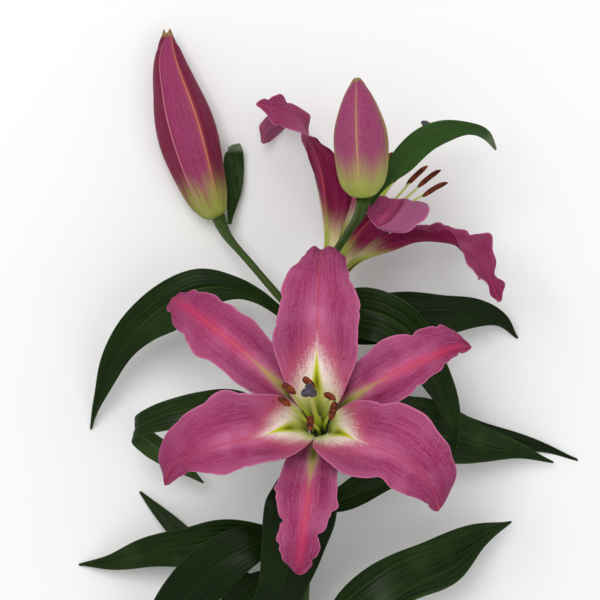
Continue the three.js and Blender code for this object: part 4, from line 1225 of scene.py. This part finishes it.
def bud_paint(name, given):
    """Bud skin: streaked faces, a line on each rib and in each seam, and a green root.

    third is 1 on the three ribs and -1 on the three seams. The faces within the angle reach on
    each side of the angle face are pink, those round the bud are deeper, and blur softens the
    border. streak, speckle and seam_share are strengths, and green_share is where the root ends.
    """
    paint = Paint(name, roughness=0.55, specular=0.12)
    u, across, upward = paint.note("spot")
    length, _, _ = paint.note("in_mm")
    angle = paint.math("ARCTAN2", upward, across)
    turned = paint.math("SUBTRACT", angle, given["twist"])
    third = paint.math("COSINE", paint.times(turned, 3.0))
    place = paint.vector(paint.times(across, 16.0), paint.times(upward, 16.0),
                         paint.times(length, 0.05))
    fine = paint.noise(place, 1.4, 3.0, 0.6)
    place = paint.vector(paint.times(across, 17.0), paint.times(upward, 17.0), length)
    velvet = paint.noise(place, 0.8, 2.0, 0.7)
    wander = paint.add(paint.line(fine, 0.3, -0.15), paint.line(velvet, 0.14, -0.07))

    facing = paint.math("COSINE", paint.math("SUBTRACT", angle, given["face"]))
    border, blur = math.cos(given["reach"]), given["blur"]
    facing = paint.smooth(facing, border - blur, border + blur)
    skin = paint.mix(facing, given["deep"], given["pink"])
    skin = paint.coat(skin, given["deep"], paint.smooth(fine, 0.35, 0.7), given["streak"])
    skin = paint.coat(skin, PETAL_LILAC, paint.smooth(velvet, 0.4, 0.8), given["speckle"])
    skin = paint.coat(skin, given["rib"], paint.smooth(third, 0.86, 1.0), 0.12)
    edge = paint.add(u, paint.times(paint.math("ABSOLUTE", third), -0.06))
    root = paint.smooth(paint.add(edge, wander), given["green_share"], -0.06)
    skin = paint.mix(root, skin, BUD_GREEN)
    rib = paint.smooth(third, 0.991, 0.9995)
    skin = paint.coat(skin, given["rib"], rib, paint.smooth(u, 0.0, 0.3), 0.7)
    seam = paint.smooth(third, -0.992, -0.9995)
    skin = paint.coat(skin, given["seam"], seam, given["seam_share"])
    skin = paint.coat(skin, BUD_TIP, paint.smooth(u, 0.965, 1.0), 0.8)
    return paint.finish(skin, paint.add(fine, paint.times(velvet, 0.4)), 0.2)


print("bud green in linear light:", [round(value, 3) for value in BUD_GREEN])


# %% Relief of a bud, and the tips of its petals
def bud_relief(twist):
    """Three ribs and three seams, as cosines of the angle with narrow creases on top.

    The root is rounded like the end of an ellipse, and towards the tip the ribs part.
    """
    def relief(u, angle):
        strength = np.sin(np.pi * np.minimum(1, u + 0.08))
        rib = np.cos(3 * (angle - twist))
        seam = np.cos(6 * (angle - twist))
        crease = 0.02 * np.exp(-((1 - rib) / 0.02)) + 0.012 * np.exp(-((1 + rib) / 0.01))
        soft = 0.015 * unrest(u, np.cos(angle), seed=91, count=6, reach=(3, 0.8))
        root = np.sqrt(1 - (1 - np.minimum(1, (u + 0.004) / 0.035)) ** 2)
        parting = 0.4 * np.maximum(0, (u - 0.92) / 0.08) * rib
        return root * (1 + strength * (0.045 * rib + 0.03 * seam + crease + soft) + parting)
    return relief


BUD_TIP_LENGTH = 2.2
BUD_TIP_RADIUS = [1.1, 1.0, 0.3]


def bud_tips(given):
    """A small point at the bud's end for each petal whose tip shows. Its u counts as the bud's."""
    end, way, _ = route(given["spine"], np.array([0.98, 1.0]))
    upward = np.array([0.0, 0, 1])
    tips = []
    for number in range(given["tips"]):
        angle = given["twist"] + number * 2 * math.pi / 3
        out = upward * math.cos(angle) + np.cross(way[1], upward) * math.sin(angle)
        out = out * given["radius"][-1]
        points = [end[0] + out, end[1] + 1.1 * out, end[1] + out + BUD_TIP_LENGTH * way[1]]
        tip = tube(points, BUD_TIP_RADIUS, sides=16, rows=12)
        tip["spot"][:, 0] = 0.95 + 0.05 * tip["spot"][:, 0]
        tips.append(tip)
    return tips


# %% Both buds
buds = {
    "bud_left": {
        "spine": [[-52, 51.6, 17.6], [-58.4, 66.5, 18], [-64.6, 86, 18.6], [-70.4, 106, 18.6],
                  [-76.4, 127, 18], [-81.6, 148, 16.5], [-82.9, 168, 15]],
        "radius": [6.5, 12.3, 14.8, 16.6, 17.8, 17.8, 16.6, 14.2, 11.6, 8, 2.4],
        "twist": 0.42, "face": -0.09, "reach": 0.52, "blur": 0.07, "green_share": 0.25,
        "seam": LINE_PALE, "seam_share": 0.6, "rib": LINE_SALMON, "tips": 3,
        "deep": tone(112, 14, 52), "pink": tone(144, 52, 94), "streak": 0.4, "speckle": 0.14,
    },
    "bud_right": {
        "spine": [[37.2, 60.6, 138.4], [36.4, 77, 141], [35.4, 95, 144], [34.5, 112, 147],
                  [33.4, 130.6, 150]],
        "radius": [6.5, 12.6, 14.9, 15.8, 16.1, 16, 15.1, 13, 10.2, 6.5, 1.4],
        "twist": -0.14, "face": -0.03, "reach": 1.24, "blur": 0.14, "green_share": 0.42,
        "seam": BUD_GREEN, "seam_share": 0.1, "rib": LINE_OLIVE, "tips": 0,
        "deep": tone(142, 112, 56), "pink": tone(140, 50, 96), "streak": 0.16, "speckle": 0.26,
    },
}
for name, given in buds.items():
    relief = bud_relief(given["twist"])
    form = tube(given["spine"], given["radius"], sides=120, rows=130, relief=relief)
    skin = bud_paint(name + "_skin", given)
    settle(tubes_piece(name + "_fine", [form, *bud_tips(given)], skin), name)
print("buds:", list(buds))

# %% [markdown]
# ## Stamens and pistil
# Six pale green filaments stand round the pistil, and each carries a brown anther that hangs by
# its middle. The pistil ends in a dark stigma with three lobes.

# %% Small finishes
ANTHER_BROWN = tone(136, 58, 20)
ANTHER_DARK = tone(52, 18, 10)
# The filaments' lime is partly their own colour and partly painted light, brighter to offset the shaded
# throat.
FILAMENT_LIME_AND_LIGHT = tone(198, 214, 78)
FILAMENT_PALE = tone(210, 216, 130)
STIGMA_GREY = tone(72, 66, 80)
STIGMA_DARK = tone(46, 36, 54)
STYLE_GREEN = tone(172, 188, 84)


def grainy_paint(name, low, high, scale, depth_mm, roughness):
    """Two tones mixed by fine grain on the piece's own coordinates, in metres."""
    paint = Paint(name, roughness, specular=0.3)
    place = paint.node("ShaderNodeTexCoord", {}, "Object")
    grain = paint.noise(place, scale, 3.0, 0.6)
    colour = paint.mix(paint.smooth(grain, 0.35, 0.65), low, high)
    return paint.finish(colour, grain, depth_mm)


def filament_paint():
    """Lime at the root, partly painted light for the shaded throat, and paler towards the top."""
    paint = Paint("filament_finish", roughness=0.42, specular=0.4)
    u, across, upward = paint.note("spot")
    grain = paint.noise(paint.vector(across, upward, paint.times(u, 9.0)), 3.0)
    colour = paint.mix(paint.smooth(u, 0.5, 1.0), FILAMENT_LIME_AND_LIGHT, FILAMENT_PALE)
    colour = paint.coat(colour, STYLE_GREEN, paint.smooth(grain, 0.4, 0.7), 0.3)
    return paint.finish(colour, grain, 0.1)


anther_finish = grainy_paint("anther_finish", ANTHER_DARK, ANTHER_BROWN, 420.0, 0.35, 0.85)
stigma_finish = grainy_paint("stigma_finish", STIGMA_DARK, STIGMA_GREY, 700.0, 0.3, 0.45)
filament_finish = filament_paint()
print("small finishes:", anther_finish.name, stigma_finish.name, filament_finish.name)


# %% Six stamens
FILAMENT_FOOT = [(3.9, 2.6), (4.6, 20)]
FILAMENT_BOW = 4
FILAMENT_RADIUS = [0.9, 1.1, 1, 0.8, 0.5]
ANTHER_SAG = 8
ANTHER_SHAPE = np.array([0.25, 0.85, 1, 1, 1, 0.85, 0.25])


def anther_relief(u, angle):
    """Two long pollen sacs: the section pulls in along two opposite lines."""
    deep = 0.28 * np.exp(-((np.cos(angle) + 1) / 0.12))
    return 1 - deep - 0.2 * np.exp(-((1 - np.cos(angle)) / 0.1))


def stamens(bloom, name, anther_length, anther_radius, listed):
    """Filaments from a ring round the ovary, each ending at the middle of its anther.

    A filament's foot is two points, given as distance from the axis and height. It bows towards
    the way the bloom opens, and both ends of an anther sag back from it.
    """
    filaments, anthers = [], []
    share = np.linspace(-0.5, 0.5, 5)[:, None]
    for i, (azimuth, radius, height, lie) in enumerate(listed):
        root, quarter = (in_bloom(bloom, out, 60 * i + 35, up) for out, up in FILAMENT_FOOT)
        top = in_bloom(bloom, radius, azimuth, height)
        middle = 0.5 * (quarter + top) + FILAMENT_BOW * bloom["axis"]
        filaments.append(tube([root, quarter, middle, top], FILAMENT_RADIUS, sides=14, rows=40))
        ends = top + unit(np.array(lie, float)) * share * anther_length
        ends = ends - ANTHER_SAG * share**2 * bloom["axis"]
        widths = ANTHER_SHAPE * anther_radius
        anthers.append(tube(ends, widths, sides=32, rows=40, relief=anther_relief))
    settle(tubes_piece(name + "_filaments", filaments, filament_finish), name)
    settle(tubes_piece(name + "_anthers", anthers, anther_finish), name)


stamens(FRONT, "front_stamens", 13, 2.1, [
    (25, 11, 76, [0.45, -0.25, 0.85]), (101, 12.5, 80, [0.5, -0.45, 0.75]),
    (147, 17, 78, [0.6, -0.4, 0.7]), (174, 17, 77, [0.5, -0.33, 0.8]),
    (260, 11, 75, [0, -0.6, 0.8]), (343, 12, 75, [-0.2, -0.8, 0.5]),
])
stamens(BACK, "back_stamens", 18, 1.6, [
    (51, 13, 76, [0.6, 0.75, 0.2]), (155, 28, 79, [0.87, 0.48, 0]),
    (171, 19, 83, [0.8, 0.6, 0]), (203, 12.5, 81, [0.74, 0.67, 0]),
    (263, 16, 76, [0.6, 0.7, 0.2]), (321, 13, 76, [0.6, 0.7, 0.2]),
])
print("stamens: 6 in each bloom")


# %% The pistils
OVARY_POINTS = [[0, 0, 0.8], [0, 0, 12], [0.5, 0, 24]]
STYLE_RADIUS = [2.2, 2.6, 2.3, 1.4, 1.3, 1.3, 1.4, 1.8]
STIGMA_STEPS = [-2.2, -0.8, 0.8, 2.2]
STIGMA_RADIUS = [1.5, 3.7, 4.2, 3.9, 2.2]


def stigma_relief(u, angle):
    """Three lobes with a groove between each two."""
    rib = np.cos(3 * angle)
    return 1 + np.sin(np.pi * u) * (0.2 * rib - 0.22 * np.exp(-((1 + rib) / 0.12)))


def pistil(bloom, name, top):
    """Ovary and style as one tube on the bloom's axis, and a three-lobed stigma at its end."""
    spine = [bloom["centre"] + bloom["first"] * x + bloom["second"] * y + bloom["axis"] * z
             for x, y, z in [*OVARY_POINTS, *top]]
    style = tube(spine, STYLE_RADIUS, sides=24, rows=80, relief=stalk_relief)
    heading = unit(spine[-1] - spine[-2])
    cap = [spine[-1] + heading * step for step in STIGMA_STEPS]
    stigma = tube(cap, STIGMA_RADIUS, sides=60, rows=30, relief=stigma_relief)
    settle(tubes_piece(name + "_style", [style], filament_finish), name)
    settle(tubes_piece(name + "_stigma", [stigma], stigma_finish), name)


pistil(FRONT, "front_pistil", [[0, 0, 45], [-0.5, 1, 66], [-1.2, 2.6, 84], [-1.6, 4.2, 95]])
pistil(BACK, "back_pistil", [[0, 0, 48], [0, 0, 70], [0, 0, 92], [0, 0, 108]])
print("pistils: one in each bloom")

# %% [markdown]
# ## The size of the pieces
# The finer pieces must fill the same box as the solids. Both boxes are printed, so that they
# can be compared after each change.

# %% Both boxes
visual_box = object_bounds()
boxes = {"cad": [list(corner) for corner in cad_box], "visual": [list(corner) for corner in visual_box]}
for word, box in boxes.items():
    print(word, "box in mm:", [round(1000 * value, 1) for corner in box for value in corner])
